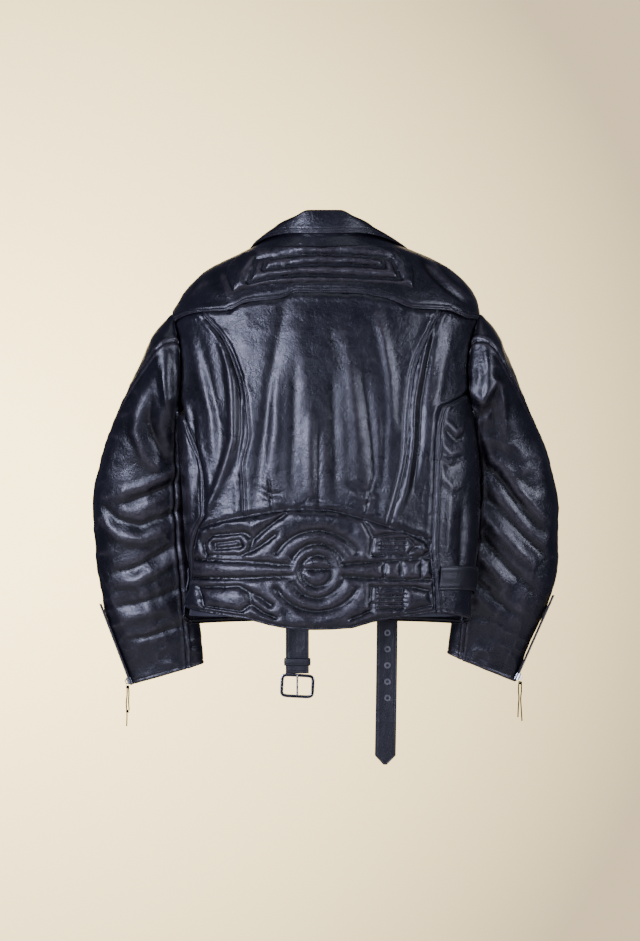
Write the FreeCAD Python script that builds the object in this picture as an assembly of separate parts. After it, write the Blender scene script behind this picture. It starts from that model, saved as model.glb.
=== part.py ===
"""Leather riding jacket, as it hangs: every panel, zip, strap and fitting as its own solid.

Row frame, in millimetres: origin at the centre-back neck seam, +X to the wearer's right,
+Y to the wearer's front, +Z up. "left" and "right" are the wearer's.
"""

import FreeCAD, Part
import math
import os

V = FreeCAD.Vector

# ---------------------------------------------------------------- driving dimensions
LEATHER = 1.6  # hide thickness
LINING = 1.0
LINING_DEPTH = 9.0  # lining's outer face, in from the hide's outer face
SEAM_GAP = 0.7  # half the gap between neighbouring panels, up and down
SEAM_GAP_DEG = 0.4  # the same, round the torso
BACK_POWER = 2.3  # superellipse power of the back half of a torso section
FRONT_POWER = 2.0
NECK_Z = -4.0
SHOULDER_Z = -132.0
ARMHOLE_Z = (-300.0, SHOULDER_Z)
ARMHOLE_BACK_DEG, ARMHOLE_FRONT_DEG = 15.0, 34.0
HEM_Z = -656.0

BELT_WIDTH = 40.0
BELT_THICK = 3.0
ZIP_BREAK = (62.0, -296.0)  # x, z where the fastened part of the front zip ends
ZIP_FOOT = (22.0, -622.0)
ZIP_HALF = 9.0  # from the zip's middle line to a front panel's edge
FRONT_Y = 160.0

# torso outline: x of the left and right edge, y of the back, widest and front lines, by height
LEFT_EDGE = [
    (-660, -230), (-616, -224), (-565, -214), (-520, -221), (-400, -229), (-287, -236),
    (-230, -235), (-180, -238), (-136, -243), (-117, -233), (-100, -222), (-84, -209),
    (-68, -193), (-52, -167), (-36, -132), (-19, -100), (-4, -76),
]
RIGHT_EDGE = [
    (-660, 248), (-616, 250), (-562, 256), (-460, 264), (-376, 262), (-287, 252),
    (-230, 250), (-181, 255), (-136, 262), (-112, 258), (-100, 252), (-84, 239),
    (-68, 221), (-52, 199), (-36, 165), (-19, 122), (-4, 90),
]
BACK_LINE = [(-660, -44), (-500, -46), (-300, -52), (-200, -50), (-120, -42), (-60, -27), (-4, -8)]
WIDE_LINE = [(-660, 30), (-400, 34), (-200, 42), (-100, 48), (-4, 52)]
FRONT_LINE = [
    (-660, FRONT_Y), (-280, FRONT_Y), (-200, 156), (-120, 146), (-60, 132), (-4, 118),
]


def smooth(points):
    """Monotone cubic through (parameter, value) points, flat beyond the ends."""
    xs, ys = [p[0] for p in points], [p[1] for p in points]
    n = len(xs)
    slope = [(ys[i + 1] - ys[i]) / (xs[i + 1] - xs[i]) for i in range(n - 1)]
    m = [slope[0]] + [0.0] * (n - 2) + [slope[-1]]
    for i in range(1, n - 1):
        if slope[i - 1] * slope[i] > 0:
            w1 = 2 * (xs[i + 1] - xs[i]) + xs[i] - xs[i - 1]
            w2 = xs[i + 1] - xs[i] + 2 * (xs[i] - xs[i - 1])
            m[i] = (w1 + w2) / (w1 / slope[i - 1] + w2 / slope[i])

    def value(x):
        if x <= xs[0]:
            return ys[0]
        if x >= xs[-1]:
            return ys[-1]
        i = max(k for k in range(n - 1) if xs[k] <= x)
        h = xs[i + 1] - xs[i]
        t = (x - xs[i]) / h
        return (
            ys[i] * (1 + 2 * t) * (1 - t) ** 2
            + h * m[i] * t * (1 - t) ** 2
            + ys[i + 1] * t * t * (3 - 2 * t)
            + h * m[i + 1] * t * t * (t - 1)
        )

    return value


left_edge, right_edge = smooth(LEFT_EDGE), smooth(RIGHT_EDGE)
back_line, wide_line, front_line = smooth(BACK_LINE), smooth(WIDE_LINE), smooth(FRONT_LINE)


def signed_power(value, power):
    return math.copysign(abs(value) ** power, value)


def torso(phi, z):
    """Point of the torso's outer face: phi is 0 at the back, +90 at the right side, 180 in front."""
    s, c = math.sin(math.radians(phi)), math.cos(math.radians(phi))
    power = 2 / (BACK_POWER if c >= 0 else FRONT_POWER)
    middle, half = (left_edge(z) + right_edge(z)) / 2, (right_edge(z) - left_edge(z)) / 2
    depth = wide_line(z) - back_line(z) if c >= 0 else front_line(z) - wide_line(z)
    return V(middle + half * signed_power(s, power), wide_line(z) - depth * signed_power(c, power), z)


def phi_at(x, z, front=False):
    """The angle whose torso point has this x, on the back or on the front."""
    middle, half = (left_edge(z) + right_edge(z)) / 2, (right_edge(z) - left_edge(z)) / 2
    power = (FRONT_POWER if front else BACK_POWER) / 2
    share = max(-1.0, min(1.0, (x - middle) / half))
    angle = math.degrees(math.asin(signed_power(share, power)))
    return (math.copysign(180, angle) - angle) if front else angle


def off_surface(surface, u, v, du, dv, lift):
    """Point of surface(u, v) moved out along its normal by lift."""
    p = surface(u, v)
    if not lift:
        return p
    normal = (surface(u + du, v) - surface(u - du, v)).cross(surface(u, v + dv) - surface(u, v - dv))
    normal.normalize()
    return p + normal * lift


def torso_off(phi, z, lift):
    return off_surface(torso, phi, z, 0.5, 1.0, lift)


def torso_inset(phi, z, lift):
    """Like torso_off, but moved straight towards the section's middle, which stays neat at the neck."""
    p = torso(phi, z)
    middle = V((left_edge(z) + right_edge(z)) / 2, wide_line(z), z)
    return p + (p - middle) * (lift / max(1.0, (p - middle).Length)) + V(0, 0, 0.7 * lift)


# ---------------------------------------------------------------- solids from grids of points
def patch_solid(outer, inner):
    """A closed solid between two grids of points that face each other."""
    faces, borders = [], []
    for grid in (outer, inner):
        surface = Part.BSplineSurface()
        surface.interpolate(grid)
        u0, u1, v0, v1 = surface.bounds()
        faces.append(surface.toShape())
        borders.append(
            [surface.uIso(u0).toShape(), surface.uIso(u1).toShape(),
             surface.vIso(v0).toShape(), surface.vIso(v1).toShape()]
        )
    faces += [Part.makeRuledSurface(a, b, 1) for a, b in zip(*borders)]
    shell = Part.makeShell(faces)
    shell.sewShape()
    solid = Part.makeSolid(shell)
    if solid.Volume < 0:
        solid.reverse()
    if not solid.isValid():
        solid.fix(0.01, 0.01, 0.01)
    return solid


def steps(count):
    return [i / (count - 1) for i in range(count)]


def level_on(line, share, start, end):
    """z where a crosswise border, given as z by phi, meets the line at this share of the panel."""
    z = line((start(-300) + end(-300)) / 2)
    for _ in range(8):
        z = line(start(z) + (end(z) - start(z)) * share)
    return z


def torso_panel(top, bottom, start, end, lift=0.0, thick=LEATHER, nu=12, nv=14, move=torso_off):
    """A panel of the torso: top and bottom give z by phi, start and end give phi by z."""
    gap = SEAM_GAP_DEG

    def grid(level):
        rows = []
        for s in steps(nu):
            z_top, z_foot = level_on(top, s, start, end), level_on(bottom, s, start, end)
            row = []
            for t in steps(nv):
                z = z_top + (z_foot - z_top) * t
                a, b = start(z), end(z)
                row.append(move(a + gap + (b - a - 2 * gap) * s, z, level))
            rows.append(row)
        return rows

    return patch_solid(grid(lift), grid(lift - thick))


def seam(points, front=False):
    """A seam given as x, z points on the torso, as phi by z."""
    return smooth(sorted((z, phi_at(x, z, front)) for x, z in points))


def box(x0, x1, y0, y1, z0, z1):
    return Part.makeBox(x1 - x0, y1 - y0, z1 - z0, V(x0, y0, z0))


def frame_at(origin, x_axis, z_axis):
    """Placement whose local X and Z point along the two directions given."""
    z = V(z_axis)
    z.normalize()
    y = z.cross(x_axis)
    y.normalize()
    x = y.cross(z)
    m = FreeCAD.Matrix(
        x.x, y.x, z.x, origin.x, x.y, y.y, z.y, origin.y, x.z, y.z, z.z, origin.z, 0, 0, 0, 1
    )
    return FreeCAD.Placement(m)


def placed(shape, placement):
    made = shape.copy()
    made.Placement = placement.multiply(made.Placement)
    return made


def rounded_plate(width, length, thick, radius):
    """Plate centred on X and Y, from Z 0 up, with rounded upright corners."""
    plate = box(-width / 2, width / 2, -length / 2, length / 2, 0, thick)
    upright = [e for e in plate.Edges if abs(e.tangentAt(e.FirstParameter).z) > 0.9]
    return plate.makeFillet(radius, upright)


# ---------------------------------------------------------------- seams of the torso
YOKE_SEAM = [
    (-240, -149), (-194, -134), (-150, -133), (-121, -120), (-63, -113), (-40, -104),
    (49, -105), (105, -113), (155, -130), (200, -131), (240, -143),
]
KIDNEY_TOP = [(-199, -486), (-126, -467), (-32, -454), (8, -455), (49, -463), (146, -494), (183, -507)]
KIDNEY_FOOT = [(-224, -616), (-130, -633), (-49, -650), (-8, -652), (40, -650), (97, -637), (190, -624)]
PLEAT_LEFT = [
    (-194, -134), (-158, -181), (-138, -230), (-125, -279), (-120, -330), (-130, -390), (-126, -470),
]
PLEAT_RIGHT = [(197, -134), (168, -190), (152, -240), (145, -299), (139, -380), (112, -484)]
SIDE_SEAM_LEFT = [(-228, -270), (-207, -343), (-190, -408), (-188, -465), (-199, -486), (-224, -616)]
SIDE_SEAM_RIGHT = [(229, -250), (203, -280), (189, -340), (187, -407), (183, -500), (190, -624)]
FRONT_SEAM_DEG = (-108.0, 108.0)  # left and right seam between side panel and front
FRONT_HEM_Z = -650.0
NECK_DROP = 62.0  # how far the front of the neck is below its back
PAD_SIDES = [(-30, -112, 122), (-110, -141, 149)]  # z, x of the left side, x of the right side
# z of the pad's corners, z of its middle, phi of its corners
PAD_TOP, PAD_FOOT = (-40.0, -22.0, 67.0), (-109.0, -92.0, 36.0)
PAD_LIFT, PAD_THICK = 9.0, 8.0
KIDNEY_LIFT, KIDNEY_THICK = 3.0, 7.0

armhole_mid = sum(ARMHOLE_Z) / 2
armhole_half = (ARMHOLE_Z[1] - ARMHOLE_Z[0]) / 2


def ease(value):
    t = max(0.0, min(1.0, value))
    return t * t * (3 - 2 * t)


def armhole_share(z):
    u = (z - armhole_mid) / armhole_half
    return max(0.0, 1 - u * u) ** 0.42


def back_outer(side):
    """phi of the outer border of the back, by z: shoulder ridge, then armhole, then side seam."""
    lower = seam(SIDE_SEAM_LEFT if side < 0 else SIDE_SEAM_RIGHT)

    def value(z):
        edge = side * (90 - ARMHOLE_BACK_DEG * armhole_share(z))
        keep = ease((z + 292) / 40)
        return edge * keep + lower(z) * (1 - keep)

    return value


def front_outer(side):
    """phi of the outer border of the front, by z: shoulder ridge, then armhole, then front seam."""
    seam_deg = FRONT_SEAM_DEG[0] if side < 0 else FRONT_SEAM_DEG[1]

    def value(z):
        edge = side * (90 + ARMHOLE_FRONT_DEG * armhole_share(z))
        keep = ease((z + 300) / 30)
        return edge * keep + seam_deg * (1 - keep)

    return value


def zip_x(z):
    """x of the front zip's middle line."""
    return ZIP_FOOT[0] + (ZIP_BREAK[0] - ZIP_FOOT[0]) * (z - ZIP_FOOT[1]) / (ZIP_BREAK[1] - ZIP_FOOT[1])


ROLL_LEFT = [(53, -296), (30, -230), (-22, -130), (-58, -62)]  # x, z where the lapels fold
ROLL_RIGHT = [(71, -296), (80, -230), (84, -130), (76, -62)]
LAPEL_WIDTH = smooth([(-296, 0.0), (-262, 36.0), (-200, 74.0), (-140, 100.0), (-96, 76.0)])
GORGE = smooth([(130, -126), (148, -130), (164, -78)])  # z of the lapel's top edge, by phi
LAPEL_LIFT, LAPEL_THICK = 9.0, 3.0
LAPEL_FOOT_Z = -284.0


def roll_x(side):
    return smooth(sorted((z, x) for x, z in (ROLL_LEFT if side < 0 else ROLL_RIGHT)))


def front_inner(side):
    """phi of the border of a front panel: along the zip, then the lapel's fold, then the neck."""
    roll = roll_x(side)

    def value(z):
        height = min(z, -NECK_DROP)
        x = zip_x(height) + side * ZIP_HALF if height < ZIP_BREAK[1] else roll(height)
        return unwrapped(phi_at(x, height, front=True), side)

    return value


def unwrapped(angle, side):
    """A front angle counted on from the side it belongs to, so that it never jumps at 180."""
    return angle % 360 if side > 0 else -((-angle) % 360)


NECK_SEAM = smooth([(86, NECK_Z), (104, -6), (126, -13), (146, -31), (160, -NECK_DROP)])


def neck_z(phi):
    """Height of the neck seam: level behind, dropping towards the front."""
    return NECK_SEAM(abs(phi))


def constant(value):
    """A border that lies at one height, or at one angle."""
    return lambda _: value


def across(points, shift=0.0):
    """A crosswise seam given as x, z points on the back, as z by phi."""
    line = smooth([(phi_at(x, z), z) for x, z in points])
    return lambda phi: line(phi) + shift


def shell_panels():
    outer_l, outer_r = back_outer(-1), back_outer(1)
    front_l, front_r = front_outer(-1), front_outer(1)
    inner_l, inner_r = front_inner(-1), front_inner(1)
    pleat_l, pleat_r = seam(PLEAT_LEFT), seam(PLEAT_RIGHT)
    side_l, side_r = seam(SIDE_SEAM_LEFT), seam(SIDE_SEAM_RIGHT)
    front_seam_l, front_seam_r = constant(FRONT_SEAM_DEG[0]), constant(FRONT_SEAM_DEG[1])
    under_yoke, over_kidney = across(YOKE_SEAM, -SEAM_GAP), across(KIDNEY_TOP, SEAM_GAP)
    neck, armpit, hem = constant(NECK_Z), constant(ARMHOLE_Z[0] - 1), constant(FRONT_HEM_Z)
    side_hem_l = smooth([(FRONT_SEAM_DEG[0], FRONT_HEM_Z), (-64, FRONT_HEM_Z + 30)])
    side_hem_r = smooth([(52, FRONT_HEM_Z + 24), (FRONT_SEAM_DEG[1], FRONT_HEM_Z)])
    armpit_r = smooth([(56, -264), (76, -272), (87, -298), (94, ARMHOLE_Z[0] - 1)])
    return {
        "back_yoke": torso_panel(neck, across(YOKE_SEAM, SEAM_GAP), outer_l, outer_r, nu=28, nv=12),
        "back_centre_panel": torso_panel(under_yoke, over_kidney, pleat_l, pleat_r, nu=18, nv=18),
        "back_side_panel_left": torso_panel(under_yoke, over_kidney, outer_l, pleat_l, nu=10, nv=26),
        "back_side_panel_right": torso_panel(under_yoke, over_kidney, pleat_r, outer_r, nu=10, nv=26),
        "kidney_panel": torso_panel(
            across(KIDNEY_TOP, -SEAM_GAP), across(KIDNEY_FOOT), side_l, side_r,
            lift=KIDNEY_LIFT, thick=KIDNEY_THICK, nu=28, nv=10,
        ),
        "side_panel_left": torso_panel(armpit, side_hem_l, front_seam_l, outer_l, nu=10, nv=22),
        "side_panel_right": torso_panel(armpit_r, side_hem_r, outer_r, front_seam_r, nu=20, nv=26),
        "front_panel_left": torso_panel(neck_z, hem, inner_l, front_l, nu=18, nv=34),
        "front_panel_right": torso_panel(neck_z, hem, front_r, inner_r, nu=16, nv=34),
    }


LINING_HEIGHTS = (-630, -500, -400, -310, -216, -100, -10)  # where the lining follows the borders


def lining_neck(phi):
    """Height of the front linings' upper edge, a little below the neck seam."""
    return neck_z(phi) - 8


def eased(border):
    """A panel's border with its sharp turns taken out, for the lining."""
    return smooth([(z, border(z)) for z in LINING_HEIGHTS])


def torso_lining():
    """The lining of the back, both sides and both fronts, each a sheet of its own."""
    back_l, back_r = eased(back_outer(-1)), eased(back_outer(1))
    front_l, front_r = eased(front_outer(-1)), eased(front_outer(1))
    inner_l, inner_r = eased(front_inner(-1)), eased(front_inner(1))
    seam_l, seam_r = constant(FRONT_SEAM_DEG[0]), constant(FRONT_SEAM_DEG[1])
    neck, armpit, hem = constant(NECK_Z), constant(ARMHOLE_Z[0] - 1), constant(HEM_Z + 32)
    sheets = [
        (neck, hem, back_l, back_r, 24, 24), (armpit, hem, seam_l, back_l, 10, 18),
        (armpit, hem, back_r, seam_r, 10, 18),
        (lining_neck, hem, inner_l, front_l, 18, 30), (lining_neck, hem, front_r, inner_r, 16, 30),
    ]
    return Part.makeCompound([
        torso_panel(*borders, lift=-LINING_DEPTH, thick=LINING, nu=nu, nv=nv, move=torso_inset)
        for *borders, nu, nv in sheets
    ])


def yoke_pad():
    """The quilted pad sewn over the middle of the yoke."""
    left = smooth([(z, phi_at(x, z)) for z, x, _ in reversed(PAD_SIDES)])
    right = smooth([(z, phi_at(x, z)) for z, _, x in reversed(PAD_SIDES)])

    def arched(corner_z, middle_z, corner_deg):
        return lambda phi: middle_z + (corner_z - middle_z) * min(1.0, abs(phi / corner_deg)) ** 4

    return torso_panel(
        arched(*PAD_TOP), arched(*PAD_FOOT), left, right, lift=PAD_LIFT, thick=PAD_THICK, nu=18, nv=8
    )


def lapel(side):
    """A lapel, folded out flat over its front panel."""
    roll = roll_x(side)

    def fold(z):
        return unwrapped(phi_at(roll(z), z, front=True), side)

    def edge(z):
        return unwrapped(phi_at(roll(z) + side * (3 + LAPEL_WIDTH(z)), z, front=True), side)

    def top(phi):
        return GORGE(abs(phi))

    start, end = (fold, edge) if side < 0 else (edge, fold)
    return torso_panel(
        top, constant(LAPEL_FOOT_Z), start, end, lift=LAPEL_LIFT, thick=LAPEL_THICK, nu=10, nv=16
    )


# ---------------------------------------------------------------- collar
COLLAR_THICK = 2.6
COLLAR_STAND_DEG, COLLAR_FALL_DEG = 138.0, 155.0  # how far round the neck each part reaches
COLLAR_LIFT = 9.0  # how far the collar's free edge stands off the jacket
# by angle round the neck from the middle of the back: height of the fold over the neck seam, how
# far out the fold stands, and the height of the free edge
FOLD_RISE = smooth([
    (0, 38), (15, 38), (30, 29), (50, 20), (70, 11), (90, 6), (120, 10), (146, 14), (158, 12),
])
FOLD_REACH = smooth([(0, 3), (90, 7), (158, 6)])
FREE_EDGE_Z = smooth([
    (0, -6), (30, -6), (60, -11), (90, -22), (100, -26), (120, -38), (140, -62), (148, -84), (156, -108),
])


def round_neck(phi, rise, reach):
    """Point beside the neck seam, rise mm over it and reach mm out from it."""
    base = torso(phi, neck_z(phi))
    outward = V(math.sin(math.radians(phi)), -math.cos(math.radians(phi)), 0)
    return base + V(0, 0, rise) + outward * reach


def collar_stand_surface(phi, t):
    rise = 2.0 + (FOLD_RISE(abs(phi)) - 5.0) * t
    return round_neck(phi, rise, FOLD_REACH(abs(phi)) * t - 4)


def collar_fall_surface(phi, t):
    start = round_neck(phi, FOLD_RISE(abs(phi)), FOLD_REACH(abs(phi)) + 2)
    end = torso_off(phi, FREE_EDGE_Z(abs(phi)), COLLAR_LIFT)
    bulge = V(0, 0, 6 * math.sin(math.pi * t))
    return start + (end - start) * t + bulge


def collar(surface, ends, thick, count):
    def grid(level):
        return [
            [off_surface(surface, -ends + 2 * ends * s, t, 0.5, 0.02, level) for t in steps(6)]
            for s in steps(count)
        ]

    return patch_solid(grid(thick / 2), grid(-thick / 2))


# ---------------------------------------------------------------- sleeves
# each station down a sleeve: x, z of its outer edge, x, z of its inner edge, y of its middle line
# and half its depth from front to back; the first lies at the armhole
SLEEVE_LEFT = [
    (-250, -136, -244, -296, 58, 56), (-271, -158, -244, -310, 64, 74), (-296, -203, -242, -328, 72, 66),
    (-336, -295, -239, -353, 86, 60), (-366, -375, -232, -399, 96, 54), (-382, -451, -229, -454, 104, 50),
    (-377, -544, -222, -522, 111, 46), (-363, -629, -210, -599, 116, 40), (-339, -697, -204, -663, 120, 30),
    (-317, -755, -200, -721, 122, 20),
]
SLEEVE_RIGHT = [
    (268, -136, 258, -296, 58, 56), (289, -154, 260, -306, 64, 74), (322, -225, 262, -328, 76, 66),
    (355, -308, 262, -355, 88, 60), (382, -375, 262, -399, 98, 54), (400, -460, 256, -454, 106, 50),
    (401, -544, 246, -527, 112, 46), (386, -612, 227, -599, 116, 40), (356, -677, 221, -655, 120, 30),
    (328, -750, 216, -704, 122, 20),
]
ARMHOLE_LIFT = 2.0
SLEEVE_POWER = 2.3
SLEEVE_LINING_DEPTH = 5.0
LINING_T = (0.06, 0.97)  # shares of the sleeve between which it is lined
CAP_SHARE = 0.16  # share of the sleeve over which it takes the armhole's shape
ELBOW_T = 0.5
ELBOW_GAP, ELBOW_NOTCH = 0.003, 0.037  # half the gap at the elbow, and what the notch in front adds
LINING_NOTCH = 0.03  # what the notch in front adds once more to the lining below the elbow


def sleeve_surface(side):
    """Point of a sleeve's outer face: psi is 0 at its outer edge, 90 in front; t runs to the cuff."""
    stations = SLEEVE_LEFT if side < 0 else SLEEVE_RIGHT
    last = len(stations) - 1
    lines = [smooth([(k / last, row[i]) for k, row in enumerate(stations)]) for i in range(6)]

    def value(psi, t):
        c, s = math.cos(math.radians(psi)), math.sin(math.radians(psi))
        x_out, z_out, x_in, z_in, y_mid, half_depth = [line(t) for line in lines]
        across = signed_power(c, 2 / SLEEVE_POWER)
        point = V(
            (x_out + x_in) / 2 + (x_out - x_in) / 2 * across,
            y_mid + half_depth * signed_power(s, 2 / SLEEVE_POWER),
            (z_out + z_in) / 2 + (z_out - z_in) / 2 * across,
        )
        keep = 1 - ease(t / CAP_SHARE)
        if keep > 0:
            reach = ARMHOLE_FRONT_DEG if s > 0 else ARMHOLE_BACK_DEG
            phi = side * (90 + math.copysign(reach, s) * abs(s) ** 0.84)
            hole = torso_off(phi, armhole_mid + armhole_half * c, ARMHOLE_LIFT)
            point = hole * keep + point * (1 - keep)
        return point

    return value


def elbow_share(psi, way, notch=ELBOW_NOTCH):
    """Share t where a sleeve's upper part ends (way -1) or its forearm starts (way 1)."""
    front = max(0.0, math.sin(math.radians(psi)))
    return ELBOW_T + way * (ELBOW_GAP + notch * front)


def sleeve_panel(side, start, end, part, lift=0.0, thick=LEATHER, nu=14, nv=16):
    """A panel of a sleeve; start and end give psi by t. part is "upper", "forearm" or their lining."""
    surface = sleeve_surface(side)
    notch = ELBOW_NOTCH + (LINING_NOTCH if lift else 0.0)

    def grid(level):
        rows = []
        for s in steps(nu):
            psi = start(ELBOW_T) + (end(ELBOW_T) - start(ELBOW_T)) * s
            t0, t1 = (0.0, elbow_share(psi, -1)) if part == "upper" else (elbow_share(psi, 1, notch), 1.0)
            if lift:
                t0, t1 = max(t0, LINING_T[0]), min(t1, LINING_T[1])
            row = []
            for k in steps(nv):
                t = t0 + (t1 - t0) * k
                a, b = start(t) + SEAM_GAP_DEG, end(t) - SEAM_GAP_DEG
                row.append(off_surface(surface, a + (b - a) * s, t, 1.0, 0.004, -side * level))
            rows.append(row)
        return rows

    return patch_solid(grid(lift), grid(lift - thick))


ELBOW_SEAM = smooth([(0.0, -69.0), (0.2, -48.0), (0.4, -14.0), (0.6, -8.0), (1.0, -8.0)])
UNDER_SEAM = smooth([(0.0, -150.0), (0.6, -138.0), (1.0, -123.0)])


def sleeve_parts(side):
    word = "left" if side < 0 else "right"
    deep = dict(lift=-SLEEVE_LINING_DEPTH, thick=LINING)
    parts = {}
    for part in ("upper", "forearm"):
        parts[f"{part}_back_{word}"] = sleeve_panel(side, UNDER_SEAM, ELBOW_SEAM, part)
        parts[f"{part}_front_{word}"] = sleeve_panel(
            side, ELBOW_SEAM, lambda t: UNDER_SEAM(t) + 360, part, nu=24
        )
        parts[f"{part}_lining_{word}"] = Part.makeCompound([
            sleeve_panel(side, constant(0), constant(180), part, **deep),
            sleeve_panel(side, constant(180), constant(360), part, **deep),
        ])
    return parts


# ---------------------------------------------------------------- zips
CHAIN_WIDTH, CHAIN_THICK = 5.6, 2.4
ZIP_PLACES = {  # from the slider's closed end to the far end, as x, z on the front
    "front_zip": ((60.5, -309), (24, -607)),
    "hand_pocket_zip_left": ((-84, -420), (-138, -548)),
    "hand_pocket_zip_right": ((126, -420), (170, -548)),
    "chest_pocket_zip": ((-70, -352), (-150, -322)),
}
CUFF_ZIP_T = (0.985, 0.76)
CUFF_ZIP_PSI = -8.0
CUFF_ZIP_LIFT = (3.4, 6.0)  # off the sleeve at the cuff, and at the far end
PULL_AXIS_LIFT = 6.0


def chain_frame(start, end, normal):
    """Placement whose X runs along the chain from the slider and whose Z stands off the jacket."""
    along = end - start
    return frame_at(start, along, normal - along * (normal.dot(along) / along.dot(along)))


def zip_frame(name):
    """Placement of a front or pocket zip, lifted clear of the curved front; and its length."""
    (x0, z0), (x1, z1) = ZIP_PLACES[name]
    ends = [torso(phi_at(x, z, front=True), z) for x, z in ((x0, z0), (x1, z1))]
    middle = torso(phi_at((x0 + x1) / 2, (z0 + z1) / 2, front=True), (z0 + z1) / 2)
    normal = (torso_off(phi_at((x0 + x1) / 2, (z0 + z1) / 2, True), (z0 + z1) / 2, 10) - middle) * 0.1
    lift = normal * (2.6 + max(0.0, (middle - (ends[0] + ends[1]) * 0.5).dot(normal)))
    return chain_frame(ends[0] + lift, ends[1] + lift, normal), (ends[1] - ends[0]).Length


def cuff_zip_frame(side):
    surface = sleeve_surface(side)
    start, end = [
        off_surface(surface, CUFF_ZIP_PSI, t, 1.0, 0.004, -side * lift)
        for t, lift in zip(CUFF_ZIP_T, CUFF_ZIP_LIFT)
    ]
    normal = start - surface(CUFF_ZIP_PSI, CUFF_ZIP_T[0])
    return chain_frame(start, end, normal), (end - start).Length


def zip_chain(length):
    return box(-8, length, -CHAIN_WIDTH / 2, CHAIN_WIDTH / 2, 0, CHAIN_THICK)


def zip_slider():
    """A slider straddling the chain, with a pierced lug on top."""
    body = box(-6, 6, -5, 5, -1.6, 4.2).cut(box(-7, 7, -3.3, 3.3, -0.5, 2.9))
    lug = box(-4, 4, -1.2, 1.2, 4.1, 8.2).cut(box(-2.4, 2.4, -2, 2, 5.0, 7.0))
    return body.fuse(lug).removeSplitter()


def zip_pull():
    """A pull tab with a round bar through the slider's lug."""
    z = PULL_AXIS_LIFT
    bar = Part.makeCylinder(0.65, 8.8, V(0, -4.4, z), V(0, 1, 0))
    arms = [box(-0.65, 9, y, y + 1.4, z - 0.6, z + 0.6) for y in (-4.4, 3.0)]
    tab = box(8, 30, -4.4, 4.4, z - 0.6, z + 0.6)
    tab = tab.makeFillet(3.0, [e for e in tab.Edges if e.CenterOfMass.x > 29 and e.Length < 2])
    return tab.fuse([bar] + arms).removeSplitter()


def zips():
    parts = {}
    for name in ZIP_PLACES:
        place, length = zip_frame(name)
        parts[f"{name}_chain"] = placed(zip_chain(length), place)
        parts[f"{name}_slider"] = placed(zip_slider(), place)
        parts[f"{name}_pull"] = placed(zip_pull(), place)
    for side, word in ((-1, "left"), (1, "right")):
        place, length = cuff_zip_frame(side)
        parts[f"cuff_zip_{word}_chain"] = placed(zip_chain(length), place)
        parts[f"cuff_zip_{word}_slider"] = placed(zip_slider(), place)
    return parts


FLAP_TOP_Z, FLAP_FOOT_Z = -300.0, -640.0
FLAP_HALF, FLAP_LIFT, FLAP_THICK = 24.0, -3.6, 2.0


def storm_flap():
    """The leather flap behind the front zip, between hide and lining."""

    def border(side):
        return lambda z: unwrapped(phi_at(zip_x(z) + side * FLAP_HALF, z, front=True), 1)

    return torso_panel(
        constant(FLAP_TOP_Z), constant(FLAP_FOOT_Z), border(1), border(-1),
        lift=FLAP_LIFT, thick=FLAP_THICK, nu=4,
    )


# ---------------------------------------------------------------- belt
BELT_Z_SEAM, BELT_Z_LOOP = -568.0, -590.0  # height of the belt's middle at the side seam and in front
BELT_LIFT = 5.6
LOOP_X_LEFT, LOOP_X_RIGHT = -54.0, 134.0  # x where the belt's ends leave their last loops
LOOP_DEGREES = (127.0, 143.0)  # further loops, as angles from the back on each side
TAIL_Y = 174.0
TAIL_LEFT_X, TAIL_LEFT_FOOT = -39.0, -742.0
KEEPER_Z, KEEPER_HEIGHT, KEEPER_WALL = -722.0, 12.0, 1.8
TAIL_RIGHT_X, TAIL_RIGHT_FOOT = 116.0, -899.0
BUCKLE_WIDTH, BUCKLE_HEIGHT, BUCKLE_BAR = 56.0, 40.0, 4.5
BUCKLE_THICK, BUCKLE_ROUNDING = 4.0, 1.2
EYELET_SPACING = 28.0
EYELET_COUNT = 5


def belt_middle(phi):
    share = ease((abs(phi) - 62) / 70)
    return BELT_Z_SEAM + (BELT_Z_LOOP - BELT_Z_SEAM) * share


def belt_band(side):
    """The part of the belt that lies on the jacket, from the side seam to the last loop."""
    last = LOOP_X_LEFT if side < 0 else LOOP_X_RIGHT
    end = unwrapped(phi_at(last, BELT_Z_LOOP, front=True), side)
    seam_points = SIDE_SEAM_LEFT if side < 0 else SIDE_SEAM_RIGHT
    start = seam(seam_points)(BELT_Z_SEAM) + side * 3.0
    first, second = (start, end) if side > 0 else (end, start)

    def edge(shift):
        return lambda phi: belt_middle(phi) + shift

    half = BELT_WIDTH / 2
    return torso_panel(
        edge(half), edge(-half), constant(first), constant(second),
        lift=BELT_LIFT, thick=BELT_THICK, nu=44, nv=4,
    )


def belt_loops():
    """Leather loops over the belt, upright."""
    loops = []
    for side in (-1, 1):
        for degrees in LOOP_DEGREES:
            phi = side * degrees
            z = belt_middle(phi)
            foot = torso_off(phi, z, BELT_LIFT + 1.4)
            out = torso_off(phi, z, BELT_LIFT + 10) - foot
            half = BELT_WIDTH / 2
            plate = box(-half - 5, half + 5, -6, 6, 0, 2)
            ends = [box(x, x + 4.4, -6, 6, -5.0, 0.2) for x in (-half - 5, half + 0.6)]
            loops.append(placed(plate.fuse(ends).removeSplitter(), frame_at(foot, V(0, 0, -1), out)))
    return Part.makeCompound(loops)


def belt_tail_left():
    half, top = BELT_WIDTH / 2, BELT_Z_LOOP + BELT_WIDTH / 2
    return box(TAIL_LEFT_X - half, TAIL_LEFT_X + half, TAIL_Y - BELT_THICK, TAIL_Y, TAIL_LEFT_FOOT, top)


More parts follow.
